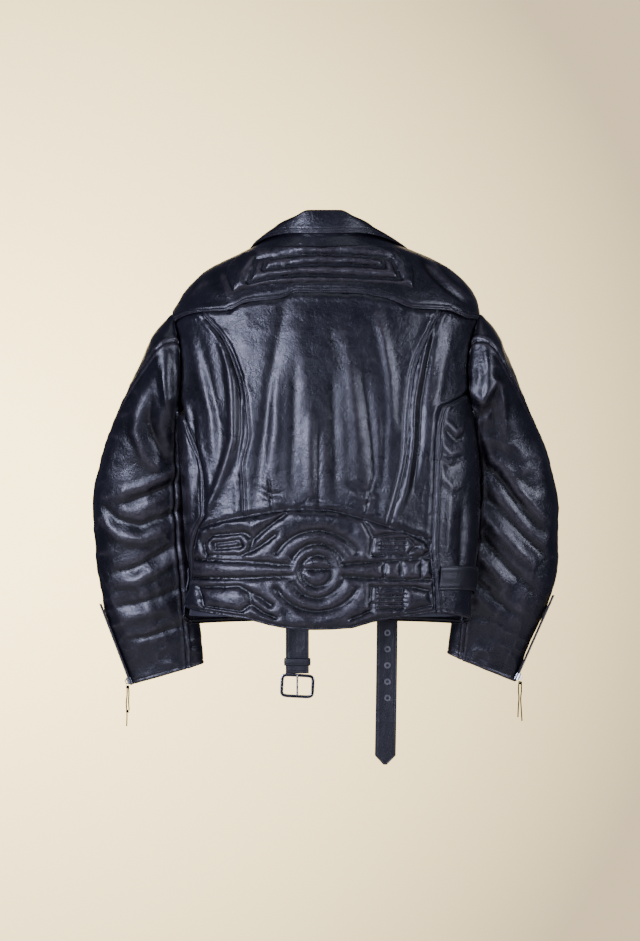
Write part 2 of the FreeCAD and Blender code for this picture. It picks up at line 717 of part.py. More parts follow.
def buckle():
    """The buckle's frame, hung on its own bar below the strap's fold."""
    x, y, z = TAIL_LEFT_X, TAIL_Y - BELT_THICK / 2, TAIL_LEFT_FOOT - 3.2
    outer = rounded_plate(BUCKLE_WIDTH, BUCKLE_HEIGHT, BUCKLE_THICK, 8.0)
    inner = rounded_plate(BUCKLE_WIDTH - 2 * BUCKLE_BAR, BUCKLE_HEIGHT - 2 * BUCKLE_BAR, 6.0, 4.0)
    inner.translate(V(0, 0, -1))
    frame = outer.cut(inner)
    rims = [e for e in frame.Edges if abs(e.tangentAt(e.FirstParameter).z) < 0.1]
    frame = frame.makeFillet(BUCKLE_ROUNDING, rims)
    frame.rotate(V(0, 0, 0), V(1, 0, 0), 90)
    frame.translate(V(x, y + BUCKLE_THICK / 2, z - BUCKLE_HEIGHT / 2 + BUCKLE_BAR / 2))
    return frame


def buckle_prong():
    x, y, z = TAIL_LEFT_X, TAIL_Y - BELT_THICK / 2, TAIL_LEFT_FOOT - 3.2
    return Part.makeCylinder(1.7, BUCKLE_HEIGHT - 5, V(x, y - 4.2, z + 1.5), V(0, 0, -1))


def belt_keeper():
    """The leather ring that holds the strap's folded end together."""
    half, y0, y1 = BELT_WIDTH / 2 + 0.4, TAIL_Y - BELT_THICK - 0.4, TAIL_Y + 0.4
    z0, z1 = KEEPER_Z - KEEPER_HEIGHT / 2, KEEPER_Z + KEEPER_HEIGHT / 2
    wall = KEEPER_WALL
    outer = box(TAIL_LEFT_X - half - wall, TAIL_LEFT_X + half + wall, y0 - wall, y1 + wall, z0, z1)
    return outer.cut(box(TAIL_LEFT_X - half, TAIL_LEFT_X + half, y0, y1, z0 - 1, z1 + 1))


def belt_tail_right():
    """The free end: a long strap with a pointed tip and five holes."""
    half, tip = BELT_WIDTH / 2 - 2, 14.0
    x, z0, z1 = TAIL_RIGHT_X, BELT_Z_LOOP + BELT_WIDTH / 2, TAIL_RIGHT_FOOT
    y = TAIL_Y - BELT_THICK
    corners = [
        (x - half, z0), (x + half, z0), (x + half, z1 + tip),
        (x + 3, z1), (x - 3, z1), (x - half, z1 + tip),
    ]
    wire = Part.makePolygon([V(cx, y, cz) for cx, cz in corners + corners[:1]])
    strap = Part.Face(wire).extrude(V(0, BELT_THICK, 0))
    for z in eyelet_heights():
        strap = strap.cut(Part.makeCylinder(3.6, 9, V(x, y - 3, z), V(0, 1, 0)))
    return strap


def eyelet_heights():
    return [-672.0 - EYELET_SPACING * k for k in range(EYELET_COUNT)]


def eyelets():
    rings = []
    for z in eyelet_heights():
        centre = V(TAIL_RIGHT_X, TAIL_Y - BELT_THICK - 0.7, z)
        barrel = Part.makeCylinder(3.6, BELT_THICK + 1.4, centre, V(0, 1, 0))
        rims = [
            Part.makeCylinder(5.6, 0.7, centre, V(0, 1, 0)),
            Part.makeCylinder(5.6, 0.7, centre + V(0, BELT_THICK + 0.7, 0), V(0, 1, 0)),
        ]
        hole = Part.makeCylinder(2.6, BELT_THICK + 6, centre - V(0, 2, 0), V(0, 1, 0))
        rings.append(barrel.fuse(rims).cut(hole).removeSplitter())
    return Part.makeCompound(rings)


# ---------------------------------------------------------------- small fittings
STUD_Z, STUD_IN = -140.0, 66.0  # height, and distance in from the lapel's fold
STUD_RADIUS, STUD_HEIGHT = 6.0, 2.2


def lapel_studs():
    """A press stud at the point of each lapel."""
    studs = []
    for side in (-1, 1):
        x, z = roll_x(side)(STUD_Z) + side * STUD_IN, STUD_Z - 10
        phi = phi_at(x, z, front=True)
        foot = torso_off(phi, z, LAPEL_LIFT + 0.1)
        studs.append(Part.makeCylinder(STUD_RADIUS, STUD_HEIGHT, foot, foot - torso(phi, z)))
    return Part.makeCompound(studs)


def hang_loop():
    """The loop inside the back of the neck that the jacket can hang by."""
    arc = Part.makeTorus(22, 2.2, V(0, 0, 0), V(0, 1, 0), -180, 180, 180)
    arc.rotate(V(0, 0, 0), V(0, 1, 0), 90)
    arc.translate(V(4, 8, -16))
    return arc


LACE_DIAMETER = 2.2
LACE_ROUTES = {
    "lace_left_long": [
        (-327, 113.5, -757), (-326, 112, -771), (-328.5, 113, -787), (-326.5, 115, -805),
        (-327.5, 114, -826),
    ],
    "lace_left_short": [(-325, 117, -757), (-323.5, 118.5, -770), (-325, 117, -784), (-323.5, 117.5, -799)],
    "lace_right_long": [
        (340.5, 113.5, -750), (341.5, 112, -764), (339.5, 113.5, -779), (341, 114.5, -796),
        (342, 113.5, -817),
    ],
    "lace_right_short": [
        (337.5, 117, -750), (336, 118.5, -763), (337.5, 117, -778), (336, 116, -794), (335.5, 117, -811),
    ],
}


def cord_tube(points, diameter):
    """A round cord along straight runs joined by tangent arcs; prints its radii and its volume."""
    pts = [V(*p) for p in points]
    edges, radii, length, last = [], [], 0.0, pts[0]
    for before, corner, after in zip(pts, pts[1:], pts[2:]):
        back, ahead = before - corner, after - corner
        turn = math.pi - back.getAngle(ahead)
        reach = 0.45 * min(back.Length, ahead.Length)
        radii.append(round(reach / math.tan(turn / 2), 1))
        back.normalize()
        ahead.normalize()
        start, end = corner + back * reach, corner + ahead * reach
        inward = back + ahead
        inward.normalize()
        middle = corner + inward * (radii[-1] / math.cos(turn / 2) - radii[-1])
        edges += [Part.makeLine(last, start), Part.Arc(start, middle, end).toShape()]
        last = end
    edges.append(Part.makeLine(last, pts[-1]))
    path = Part.Wire(edges)
    ring = Part.Wire(Part.makeCircle(diameter / 2, pts[0], pts[1] - pts[0]))
    tube = path.makePipeShell([ring], True, True)
    section = math.pi * diameter ** 2 / 4
    print("cord radii", radii, "volume", round(tube.Volume), "expected", round(section * path.Length))
    return tube


def laces():
    """Leather thongs through the cuff sliders' lugs, hanging straight down."""
    return {name: cord_tube(route, LACE_DIAMETER) for name, route in LACE_ROUTES.items()}


def main():
    os.makedirs("parts", exist_ok=True)
    parts = shell_panels()
    parts["yoke_pad"] = yoke_pad()
    parts["torso_lining"] = torso_lining()
    parts["storm_flap"] = storm_flap()
    parts["lapel_left"], parts["lapel_right"] = lapel(-1), lapel(1)
    parts["collar_stand"] = collar(collar_stand_surface, COLLAR_STAND_DEG, COLLAR_THICK, 29)
    parts["collar_fall"] = collar(collar_fall_surface, COLLAR_FALL_DEG, COLLAR_THICK, 33)
    parts.update(sleeve_parts(-1))
    parts.update(sleeve_parts(1))
    parts.update(zips())
    parts["belt_band_left"], parts["belt_band_right"] = belt_band(-1), belt_band(1)
    parts["belt_loops"] = belt_loops()
    parts["belt_tail_left"] = belt_tail_left()
    parts["belt_keeper"] = belt_keeper()
    parts["buckle_frame"] = buckle()
    parts["buckle_prong"] = buckle_prong()
    parts["belt_tail_right"] = belt_tail_right()
    parts["belt_eyelets"] = eyelets()
    parts["lapel_studs"] = lapel_studs()
    parts["hang_loop"] = hang_loop()
    parts.update(laces())
    for name, shape in parts.items():
        bb = shape.BoundBox
        print(
            f"{name:28s}{shape.ShapeType:10s}{shape.isValid()!s:6s}{len(shape.Solids):3d}"
            f"{shape.Volume / 1000:8.2f}  x {bb.XMin:.0f} {bb.XMax:.0f}  y {bb.YMin:.0f} {bb.YMax:.0f}"
            f"  z {bb.ZMin:.0f} {bb.ZMax:.0f}"
        )
        shape.exportStep(f"parts/{name}.step")


if __name__ == "__main__":
    main()
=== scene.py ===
"""Leather riding jacket seen from behind: the looks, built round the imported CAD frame.

Tables and shape functions work in millimetres in the CAD's own frame, as the part's source does;
every mesh is turned into metres when it is made (MM).
"""

import math

import bpy
import numpy as np
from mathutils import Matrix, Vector


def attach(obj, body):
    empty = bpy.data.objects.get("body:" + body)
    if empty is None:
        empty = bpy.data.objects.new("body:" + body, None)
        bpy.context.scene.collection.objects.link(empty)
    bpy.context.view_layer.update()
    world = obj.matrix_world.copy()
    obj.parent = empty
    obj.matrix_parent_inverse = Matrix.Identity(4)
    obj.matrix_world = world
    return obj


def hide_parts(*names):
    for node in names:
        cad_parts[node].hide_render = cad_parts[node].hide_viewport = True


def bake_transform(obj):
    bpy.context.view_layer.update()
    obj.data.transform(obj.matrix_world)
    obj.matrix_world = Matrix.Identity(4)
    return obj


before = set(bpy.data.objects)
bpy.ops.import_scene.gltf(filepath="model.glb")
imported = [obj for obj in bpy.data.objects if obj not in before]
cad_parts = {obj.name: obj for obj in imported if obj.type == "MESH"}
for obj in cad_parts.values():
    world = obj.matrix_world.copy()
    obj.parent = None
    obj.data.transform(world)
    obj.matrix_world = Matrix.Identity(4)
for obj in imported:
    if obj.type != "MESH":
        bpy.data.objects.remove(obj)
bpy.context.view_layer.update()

MM = 0.001
WORD = {-1: "left", 1: "right"}  # the jacket's sides by the sign of x

# ---------------------------------------------------------------- camera
VIEW_WIDE = 1.5244  # height in metres that the picture shows at the jacket's back
LENS, SENSOR = 85.0, 36.0
BACK_Y = -0.05
CAMERA_Z = -0.3929

# ---------------------------------------------------------------- the torso, as in the CAD
LEATHER = 1.6  # thickness of the hide
BACK_POWER, FRONT_POWER = 2.3, 2.0
NECK_Z, HEM_Z, FRONT_HEM_Z = -4.0, -656.0, -650.0
ARMHOLE_Z = (-300.0, -132.0)
ARMHOLE_BACK_DEG, ARMHOLE_FRONT_DEG = 15.0, 34.0
FRONT_Y = 160.0
LEFT_EDGE = [
    (-660, -230), (-616, -224), (-565, -214), (-520, -221), (-400, -229), (-287, -236),
    (-230, -235), (-180, -238), (-136, -243), (-117, -233), (-100, -222), (-84, -209),
    (-68, -193), (-52, -167), (-36, -132), (-19, -100), (-4, -76),
]
RIGHT_EDGE = [
    (-660, 248), (-616, 250), (-562, 256), (-460, 264), (-376, 262), (-287, 252),
    (-230, 250), (-181, 255), (-136, 262), (-112, 258), (-100, 252), (-84, 239),
    (-68, 221), (-52, 199), (-36, 165), (-19, 122), (-4, 90),
]
BACK_LINE = [(-660, -44), (-500, -46), (-300, -52), (-200, -50), (-120, -42), (-60, -27), (-4, -8)]
WIDE_LINE = [(-660, 30), (-400, 34), (-200, 42), (-100, 48), (-4, 52)]
FRONT_LINE = [
    (-660, FRONT_Y), (-280, FRONT_Y), (-200, 156), (-120, 146), (-60, 132), (-4, 118),
]


def smooth(points):
    """Monotone cubic through (parameter, value) points, flat beyond the ends; takes arrays."""
    xs, ys = np.array(points, float).T
    count = len(xs)
    slope = np.diff(ys) / np.diff(xs)
    m = np.concatenate([[slope[0]], np.zeros(count - 2), [slope[-1]]])
    for i in range(1, count - 1):
        if slope[i - 1] * slope[i] > 0:
            w1 = 2 * (xs[i + 1] - xs[i]) + xs[i] - xs[i - 1]
            w2 = xs[i + 1] - xs[i] + 2 * (xs[i] - xs[i - 1])
            m[i] = (w1 + w2) / (w1 / slope[i - 1] + w2 / slope[i])

    def value(x):
        x = np.clip(np.asarray(x, float), xs[0], xs[-1])
        i = np.clip(np.searchsorted(xs, x, side="right") - 1, 0, count - 2)
        h = xs[i + 1] - xs[i]
        t = (x - xs[i]) / h
        return (
            ys[i] * (1 + 2 * t) * (1 - t) ** 2 + h * m[i] * t * (1 - t) ** 2
            + ys[i + 1] * t * t * (3 - 2 * t) + h * m[i + 1] * t * t * (t - 1)
        )

    return value


left_edge, right_edge = smooth(LEFT_EDGE), smooth(RIGHT_EDGE)
back_line, wide_line, front_line = smooth(BACK_LINE), smooth(WIDE_LINE), smooth(FRONT_LINE)


def signed_power(value, power):
    return np.sign(value) * np.abs(value) ** power


def vec(x, y, z):
    return np.stack(np.broadcast_arrays(x, y, z), axis=-1)


def torso(phi, z):
    """Points of the torso's outer face: phi is 0 at the back, +90 at the right side, 180 in front."""
    phi, z = np.broadcast_arrays(np.asarray(phi, float), np.asarray(z, float))
    s, c = np.sin(np.radians(phi)), np.cos(np.radians(phi))
    power = np.where(c >= 0, 2 / BACK_POWER, 2 / FRONT_POWER)
    left, right, wide = left_edge(z), right_edge(z), wide_line(z)
    depth = np.where(c >= 0, wide - back_line(z), front_line(z) - wide)
    x = (left + right) / 2 + (right - left) / 2 * signed_power(s, power)
    return vec(x, wide - depth * signed_power(c, power), z)


def phi_at(x, z, front=False):
    """The angle whose torso point has this x, on the back or on the front."""
    middle, half = (left_edge(z) + right_edge(z)) / 2, (right_edge(z) - left_edge(z)) / 2
    power = (FRONT_POWER if front else BACK_POWER) / 2
    share = np.clip((x - middle) / half, -1, 1)
    angle = np.degrees(np.arcsin(signed_power(share, power)))
    return np.where(angle < 0, -180, 180) - angle if front else angle


def normals_of(surface, u, v, du, dv):
    n = np.cross(surface(u + du, v) - surface(u - du, v), surface(u, v + dv) - surface(u, v - dv))
    return n / np.maximum(np.linalg.norm(n, axis=-1, keepdims=True), 1e-9)


def torso_off(phi, z, lift):
    """Points this far outside the torso's outer face."""
    return torso(phi, z) + normals_of(torso, phi, z, 0.5, 1.0) * lift


def ease(value):
    t = np.clip(value, 0, 1)
    return t * t * (3 - 2 * t)


# ---------------------------------------------------------------- borders of the panels, as in the CAD
YOKE_SEAM = [
    (-240, -149), (-194, -134), (-150, -133), (-121, -120), (-63, -113), (-40, -104),
    (49, -105), (105, -113), (155, -130), (200, -131), (240, -143),
]
KIDNEY_TOP = [(-199, -486), (-126, -467), (-32, -454), (8, -455), (49, -463), (146, -494), (183, -507)]
KIDNEY_FOOT = [(-224, -616), (-130, -633), (-49, -650), (-8, -652), (40, -650), (97, -637), (190, -624)]
PLEAT_LEFT = [
    (-194, -134), (-158, -181), (-138, -230), (-125, -279), (-120, -330), (-130, -390), (-126, -470),
]
PLEAT_RIGHT = [(197, -134), (168, -190), (152, -240), (145, -299), (139, -380), (112, -484)]
SIDE_SEAM_LEFT = [(-228, -270), (-207, -343), (-190, -408), (-188, -465), (-199, -486), (-224, -616)]
SIDE_SEAM_RIGHT = [(229, -250), (203, -280), (189, -340), (187, -407), (183, -500), (190, -624)]
FRONT_SEAM_DEG = 108.0
NECK_DROP = 62.0
PAD_SIDES = [(-30, -112, 122), (-110, -141, 149)]
PAD_TOP, PAD_FOOT = (-40.0, -22.0, 67.0), (-109.0, -92.0, 36.0)
PAD_LIFT, KIDNEY_LIFT = 9.0, 3.0
ZIP_BREAK, ZIP_FOOT, ZIP_HALF = (62.0, -296.0), (22.0, -622.0), 9.0
ROLL_LEFT = [(53, -296), (30, -230), (-22, -130), (-58, -62)]
ROLL_RIGHT = [(71, -296), (80, -230), (84, -130), (76, -62)]
LAPEL_WIDTH = smooth([(-296, 0.0), (-262, 36.0), (-200, 74.0), (-140, 100.0), (-96, 76.0)])
GORGE = smooth([(130, -126), (148, -130), (164, -78)])
LAPEL_LIFT, LAPEL_FOOT_Z = 9.0, -286.0
LAPEL_ROLL = 11.0  # width over which a lapel turns up from its fold
NECK_SEAM = smooth([(86, NECK_Z), (104, -6), (126, -13), (146, -31), (160, -NECK_DROP)])
FOLD_RISE = smooth([
    (0, 38), (15, 38), (30, 29), (50, 20), (70, 11), (90, 6), (120, 10), (146, 14), (158, 12),
])
FOLD_REACH = smooth([(0, 3), (90, 7), (158, 6)])
FREE_EDGE_Z = smooth([
    (0, -6), (30, -6), (60, -11), (90, -22), (100, -26), (120, -38), (140, -62), (148, -84), (156, -108),
])
COLLAR_LIFT, COLLAR_DEG = 9.0, 155.0  # how far round the neck the collar reaches
armhole_mid = (ARMHOLE_Z[0] + ARMHOLE_Z[1]) / 2
armhole_half = (ARMHOLE_Z[1] - ARMHOLE_Z[0]) / 2


def seam(points):
    """The angle of an upright seam at each height."""
    return smooth(sorted((z, float(phi_at(x, z))) for x, z in points))


def across(points):
    """The height of a level seam at each angle."""
    return smooth([(float(phi_at(x, z)), z) for x, z in points])


def flat(value):
    """A border with the same value everywhere."""
    return lambda at: value + 0 * np.asarray(at, float)


def armhole_share(z):
    return np.maximum(0, 1 - ((z - armhole_mid) / armhole_half) ** 2) ** 0.42


def back_outer(side):
    """Outer border of the back: the armhole, then the side seam below it."""
    lower = seam(SIDE_SEAM_LEFT if side < 0 else SIDE_SEAM_RIGHT)

    def value(z):
        keep = ease((z + 292) / 40)
        return side * (90 - ARMHOLE_BACK_DEG * armhole_share(z)) * keep + lower(z) * (1 - keep)

    return value


def front_outer(side):
    """Outer border of a front: the armhole, then the front seam below it."""

    def value(z):
        keep = ease((z + 300) / 30)
        armhole = side * (90 + ARMHOLE_FRONT_DEG * armhole_share(z))
        return armhole * keep + side * FRONT_SEAM_DEG * (1 - keep)

    return value


def zip_x(z):
    return ZIP_FOOT[0] + (ZIP_BREAK[0] - ZIP_FOOT[0]) * (z - ZIP_FOOT[1]) / (ZIP_BREAK[1] - ZIP_FOOT[1])


def unwrapped(angle, side):
    """The angle counted on past 180 degrees, from the right or from the left."""
    return angle % 360 if side > 0 else -((-angle) % 360)


def roll_x(side):
    return smooth(sorted((z, x) for x, z in (ROLL_LEFT if side < 0 else ROLL_RIGHT)))


def front_inner(side):
    """Inner border of a front: the zip, then the lapel's fold above it."""
    roll = roll_x(side)

    def value(z):
        height = np.minimum(z, -NECK_DROP)
        x = np.where(height < ZIP_BREAK[1], zip_x(height) + side * ZIP_HALF, roll(height))
        return unwrapped(phi_at(x, height, front=True), side)

    return value


def neck_z(phi):
    return NECK_SEAM(np.abs(phi))


# ---------------------------------------------------------------- grids of points and their meshes
NEAR, FAR, HEM = 2.4, 8.6, 6.6  # how far rows of stitches are from an edge
COLLAR_NEAR, BELT_ROW, QUILT_ROW = 4.2, 3.6, 3.0  # the same on the collar, belt and quilted pieces


def value_noise(points, size, seed=0):
    """Smooth noise from -1 to 1 with features of this size, at each point."""
    at = points / size + seed * 17.31
    cell = np.floor(at)
    part = ease(at - cell)
    total = np.zeros(points.shape[:-1])
    for corner in np.ndindex(2, 2, 2):
        step = np.array(corner)
        code = np.sin((cell + step) @ np.array([12.9898, 78.233, 37.719])) * 43758.5453
        weight = np.prod(np.where(step == 1, part, 1 - part), axis=-1)
        total += weight * (code - np.floor(code))
    return 2 * total - 1


def ridges(points, size, seed=0):
    """Noise with soft rounded ridges and narrow valleys between them."""
    return 1 - 2 * np.abs(value_noise(points, size, seed)) ** 0.8


def spread(count, crowd=0.7):
    """Shares from 0 to 1, closer together near both ends."""
    t = np.linspace(0, 1, count)
    return t - crowd * np.sin(2 * np.pi * t) / (2 * np.pi)


def level_on(line, share, start, end):
    """Heights of a level line where upright lines at these shares cross it."""
    z = line((start(-300.0) + end(-300.0)) / 2) + 0 * share
    for _ in range(10):
        z = line(start(z) + (end(z) - start(z)) * share)
    return z


def torso_grid(top, bottom, start, end, across_count, down_count, lift=0.0):
    """A grid over the torso between four borders: heights by angle, angles by height."""
    share = spread(across_count)
    z_top, z_foot = level_on(top, share, start, end), level_on(bottom, share, start, end)
    z = z_top[:, None] + (z_foot - z_top)[:, None] * spread(down_count)[None, :]
    phi = start(z) + (end(z) - start(z)) * share[:, None]
    return torso_off(phi, z, lift)


def grid_normals(grid, way):
    n = np.cross(np.gradient(grid, axis=0), np.gradient(grid, axis=1)) * way
    return n / np.maximum(np.linalg.norm(n, axis=-1, keepdims=True), 1e-9)


def edge_distances(grid):
    """How far each point of a grid is from its four edges, along the grid."""
    across_steps = np.linalg.norm(np.diff(grid, axis=0), axis=2)
    down_steps = np.linalg.norm(np.diff(grid, axis=1), axis=2)
    a = np.concatenate([np.zeros((1, grid.shape[1])), np.cumsum(across_steps, axis=0)])
    d = np.concatenate([np.zeros((grid.shape[0], 1)), np.cumsum(down_steps, axis=1)], axis=1)
    return {"start": a, "end": a[-1:] - a, "top": d, "foot": d[:, -1:] - d}


def bell(distance, width):
    return np.exp(-((distance / width) ** 2))


def edge_height(kind, d, grid, seed):
    """Height that one sewn edge gives the hide at distance d from it."""
    pucker = value_noise(grid, 7.5, seed) * bell(d, 9.0)
    if kind == "lap":  # folded under and stitched down twice on the neighbour
        rise = 1.3 * ease(d / 1.4) - 0.4 + 1.1 * bell(d - 5.2, 2.6) + 0.5 * bell(d - 13, 5)
        return rise - 0.8 * (bell(d - 2.2, 0.8) + bell(d - 8.6, 0.9)) + 0.55 * pucker
    if kind == "seam":  # sewn edge to edge
        return 0.9 * bell(d - 6, 4) - 2.0 * bell(d, 1.7) + 0.6 * pucker
    if kind == "under":  # runs on below its neighbour's lapped edge
        return 0.8 * bell(d - 9, 5) - 1.0 * bell(d, 2.6) + 0.7 * pucker
    if kind == "hem":  # turned in and stitched once
        return 0.9 * bell(d - 3, 2.4) - 0.9 * bell(d - 6.6, 0.9) - 1.6 * bell(d, 1.2) + 0.4 * pucker
    return -1.0 * bell(d, 1.2)  # "cut"


def sewn_height(grid, kinds, seed=0):
    """Height over the plain grid that the panel's four edges give, by the kind of each."""
    distances = edge_distances(grid)
    height = np.zeros(grid.shape[:2])
    for i, (edge, kind) in enumerate(kinds.items()):
        height += edge_height(kind, distances[edge], grid, seed + i)
    return height


def stroke_distance(x, z, points):
    """Distance in the x, z plane to a run of straight lines, and the share of the way along it."""
    best, share = np.full(np.shape(x), 1e9), np.zeros(np.shape(x))
    spans = len(points) - 1
    for i, ((x0, z0), (x1, z1)) in enumerate(zip(points, points[1:])):
        dx, dz = x1 - x0, z1 - z0
        t = np.clip(((x - x0) * dx + (z - z0) * dz) / (dx * dx + dz * dz), 0, 1)
        d = np.hypot(x - x0 - dx * t, z - z0 - dz * t)
        share = np.where(d < best, (i + t) / spans, share)
        best = np.minimum(best, d)
    return best, share


def strokes_height(x, z, strokes):
    """Folds and valleys: each stroke is (height, width, points) and fades towards its ends."""
    total = np.zeros(np.shape(x))
    for height, width, points in strokes:
        d, share = stroke_distance(x, z, points)
        total += height * bell(d, width) * np.sin(np.pi * np.clip(share, 0.02, 0.98)) ** 0.5
    return total


def shown_name(name):
    """A piece that stands for a CAD node of the same name is told apart from it."""
    return name + "_visual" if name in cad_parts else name


def mesh_object(name, points, faces, material, wear_and_shade=None, smooth_shading=True):
    """A mesh from points in millimetres; its wear-and-shade value rubs the finish as wear (+1) or darkens it
    as painted shade (-1) at each point.
    """
    name = shown_name(name)
    data = bpy.data.meshes.new(name)
    data.from_pydata((np.asarray(points, float) * MM).tolist(), [], faces)
    if smooth_shading:
        data.shade_smooth()
    if wear_and_shade is not None:
        attribute = data.attributes.new("wear_and_shade", "FLOAT", "POINT")
        attribute.data.foreach_set("value", np.asarray(wear_and_shade, np.float32).ravel())
    data.materials.append(material)
    obj = bpy.data.objects.new(name, data)
    bpy.context.scene.collection.objects.link(obj)
    return obj


def grid_faces(nu, nv, flip=False, closed=False):
    """Quads of a grid, closed round its first index if asked."""
    faces = []
    for i in range(nu if closed else nu - 1):
        k = (i + 1) % nu
        for j in range(nv - 1):
            face = (i * nv + j, k * nv + j, k * nv + j + 1, i * nv + j + 1)
            faces.append(face[::-1] if flip else face)
    return faces


def apply_modifiers(obj):
    depsgraph = bpy.context.evaluated_depsgraph_get()
    mesh = bpy.data.meshes.new_from_object(obj.evaluated_get(depsgraph), depsgraph=depsgraph)
    obj.modifiers.clear()
    old, obj.data = obj.data, mesh
    bpy.data.meshes.remove(old)
    mesh.name = obj.name


def thicken(obj, thick=LEATHER, outside=0.0):
    """Gives a sheet its real thickness, inwards unless outside says otherwise."""
    solid = obj.modifiers.new("thickness", "SOLIDIFY")
    solid.thickness = thick * MM
    solid.offset = outside * 2 - 1
    solid.use_even_offset = False
    apply_modifiers(obj)


def grid_object(name, grid, material, height, thick=LEATHER):
    """A grid of the torso lifted by height along its normals, as a sheet with thickness."""
    final = grid + grid_normals(grid, -1) * height[..., None]
    faces = grid_faces(*final.shape[:2], flip=True)
    obj = mesh_object(name, final.reshape(-1, 3), faces, material, wear_and_shade_of(height, final))
    thicken(obj, thick)
    return obj, final


def wear_and_shade_of(height, grid):
    """Rubbed on the ridges as wear, darkened in the valleys as painted shade, from the height less its
    smoothed self.
    """
    even = height.copy()
    for _ in range(6):
        even[1:-1, :] = (even[:-2, :] + 2 * even[1:-1, :] + even[2:, :]) / 4
        even[:, 1:-1] = (even[:, :-2] + 2 * even[:, 1:-1] + even[:, 2:]) / 4
    return np.clip((height - even) * 1.6 + 0.25 * value_noise(grid, 60.0, 5), -1, 1)


def fasten(obj, body, slot, *nodes):
    """The piece rides on that body and stands for those CAD nodes; slot is not used."""
    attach(obj, body)
    if nodes:
        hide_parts(*nodes)
    return obj


# ---------------------------------------------------------------- materials
class Network:
    """A tree of shader nodes under construction."""

    def __init__(self, tree):
        self.tree = tree

    def join(self, source, socket):
        self.tree.links.new(source, socket)

    def span(self, source, low, high, to_low=0.0, to_high=1.0):
        node = self.tree.nodes.new("ShaderNodeMapRange")
        for index, value in enumerate((low, high, to_low, to_high), start=1):
            node.inputs[index].default_value = value
        self.join(source, node.inputs[0])
        return node.outputs[0]

    def mix(self, share, first, second):
        """Blend of two colours, each a colour or another node's output."""
        node = self.tree.nodes.new("ShaderNodeMix")
        node.data_type = "RGBA"
        self.join(share, node.inputs["Factor"])
        for socket, value in ((node.inputs[6], first), (node.inputs[7], second)):
            if isinstance(value, tuple):
                socket.default_value = (*value, 1.0)
            else:
                self.join(value, socket)
        return node.outputs[2]


class Finish(Network):
    """A material under construction."""

    def __init__(self, name):
        self.material = bpy.data.materials.new(name)
        self.material.use_nodes = True
        super().__init__(self.material.node_tree)
        self.tree.nodes.clear()
        self.surface = self.tree.nodes.new("ShaderNodeBsdfPrincipled")
        output = self.tree.nodes.new("ShaderNodeOutputMaterial")
        self.join(self.surface.outputs[0], output.inputs[0])
        self.place = self.tree.nodes.new("ShaderNodeTexCoord").outputs["Object"]

    def noise(self, scale, detail=2.0, roughness=0.5, distortion=0.0):
        node = self.tree.nodes.new("ShaderNodeTexNoise")
        values = {"Scale": scale, "Detail": detail, "Roughness": roughness, "Distortion": distortion}
        for key, value in values.items():
            node.inputs[key].default_value = value
        self.join(self.place, node.inputs["Vector"])
        return node.outputs["Fac"]

    def cells(self, scale, feature="F1"):
        node = self.tree.nodes.new("ShaderNodeTexVoronoi")
        node.feature = feature
        node.inputs["Scale"].default_value = scale
        self.join(self.place, node.inputs["Vector"])
        return node.outputs["Distance"]

    def attribute(self, name):
        node = self.tree.nodes.new("ShaderNodeAttribute")
        node.attribute_name = name
        return node.outputs["Fac"]

    def bump(self, source, strength, depth_mm, before=None):
        node = self.tree.nodes.new("ShaderNodeBump")
        node.inputs["Strength"].default_value = strength
        node.inputs["Distance"].default_value = depth_mm * MM
        self.join(source, node.inputs["Height"])
        if before:
            self.join(before, node.inputs["Normal"])
        return node.outputs[0]

    def set(self, **values):
        for key, value in values.items():
            socket = self.surface.inputs[key.replace("_", " ")]
            socket.default_value = (*value, 1.0) if isinstance(value, tuple) else value

    def use(self, key, source):
        self.join(source, self.surface.inputs[key.replace("_", " ")])


def leather(name, base, sheen_tint, rubbed, rough=(0.23, 0.38), grain=1.0, coat=0.22, shine=0.5):
    """Full-grain hide: fine cells, long soft creases, rubbed where it stands up, and painted shade darkening
    its valleys.
    """
    f = Finish(name)
    cloudy = f.noise(9.0, 4.0, 0.55)
    tone = f.mix(f.span(cloudy, 0.35, 0.7), base, sheen_tint)
    wear_and_shade = f.attribute("wear_and_shade")
    speck = f.noise(160.0, 3.0, 0.6)
    worn = f.tree.nodes.new("ShaderNodeMath")
    worn.operation = "MULTIPLY"
    f.join(f.span(wear_and_shade, 0.12, 0.9), worn.inputs[0])
    f.join(f.span(speck, 0.35, 0.65, 0.25, 1.0), worn.inputs[1])
    tone = f.mix(worn.outputs[0], tone, rubbed)
    # Painted shade: in the hide's valleys, where the wear-and-shade value falls below -0.15, its colour
    # darkens towards a third of itself.
    valley_shade = tuple(0.35 * value for value in base)
    f.use("Base_Color", f.mix(f.span(wear_and_shade, -0.15, -0.8), tone, valley_shade))
    f.use("Roughness", f.span(f.noise(28.0, 5.0, 0.65), 0.3, 0.7, *rough))
    f.set(Coat_Weight=coat, Coat_Roughness=0.3, Specular_IOR_Level=shine)
    pores = f.bump(f.cells(620.0), 0.30 * grain, 0.35)
    pebble = f.bump(f.noise(230.0, 3.0, 0.6), 0.55 * grain, 0.9, pores)
    creases = f.bump(f.cells(46.0, "SMOOTH_F1"), 0.18 * grain, 2.2, pebble)
    f.use("Normal", f.bump(f.noise(75.0, 5.0, 0.66, 0.9), 0.5 * grain, 1.7, creases))
    return f.material


def thread(name, colour):
    f = Finish(name)
    twist = f.noise(1500.0, 1.0)
    f.use("Base_Color", f.mix(twist, colour, tuple(1.7 * value for value in colour)))
    f.use("Normal", f.bump(twist, 0.5, 0.2))
    f.set(Roughness=0.55, Sheen_Weight=0.3)
    return f.material


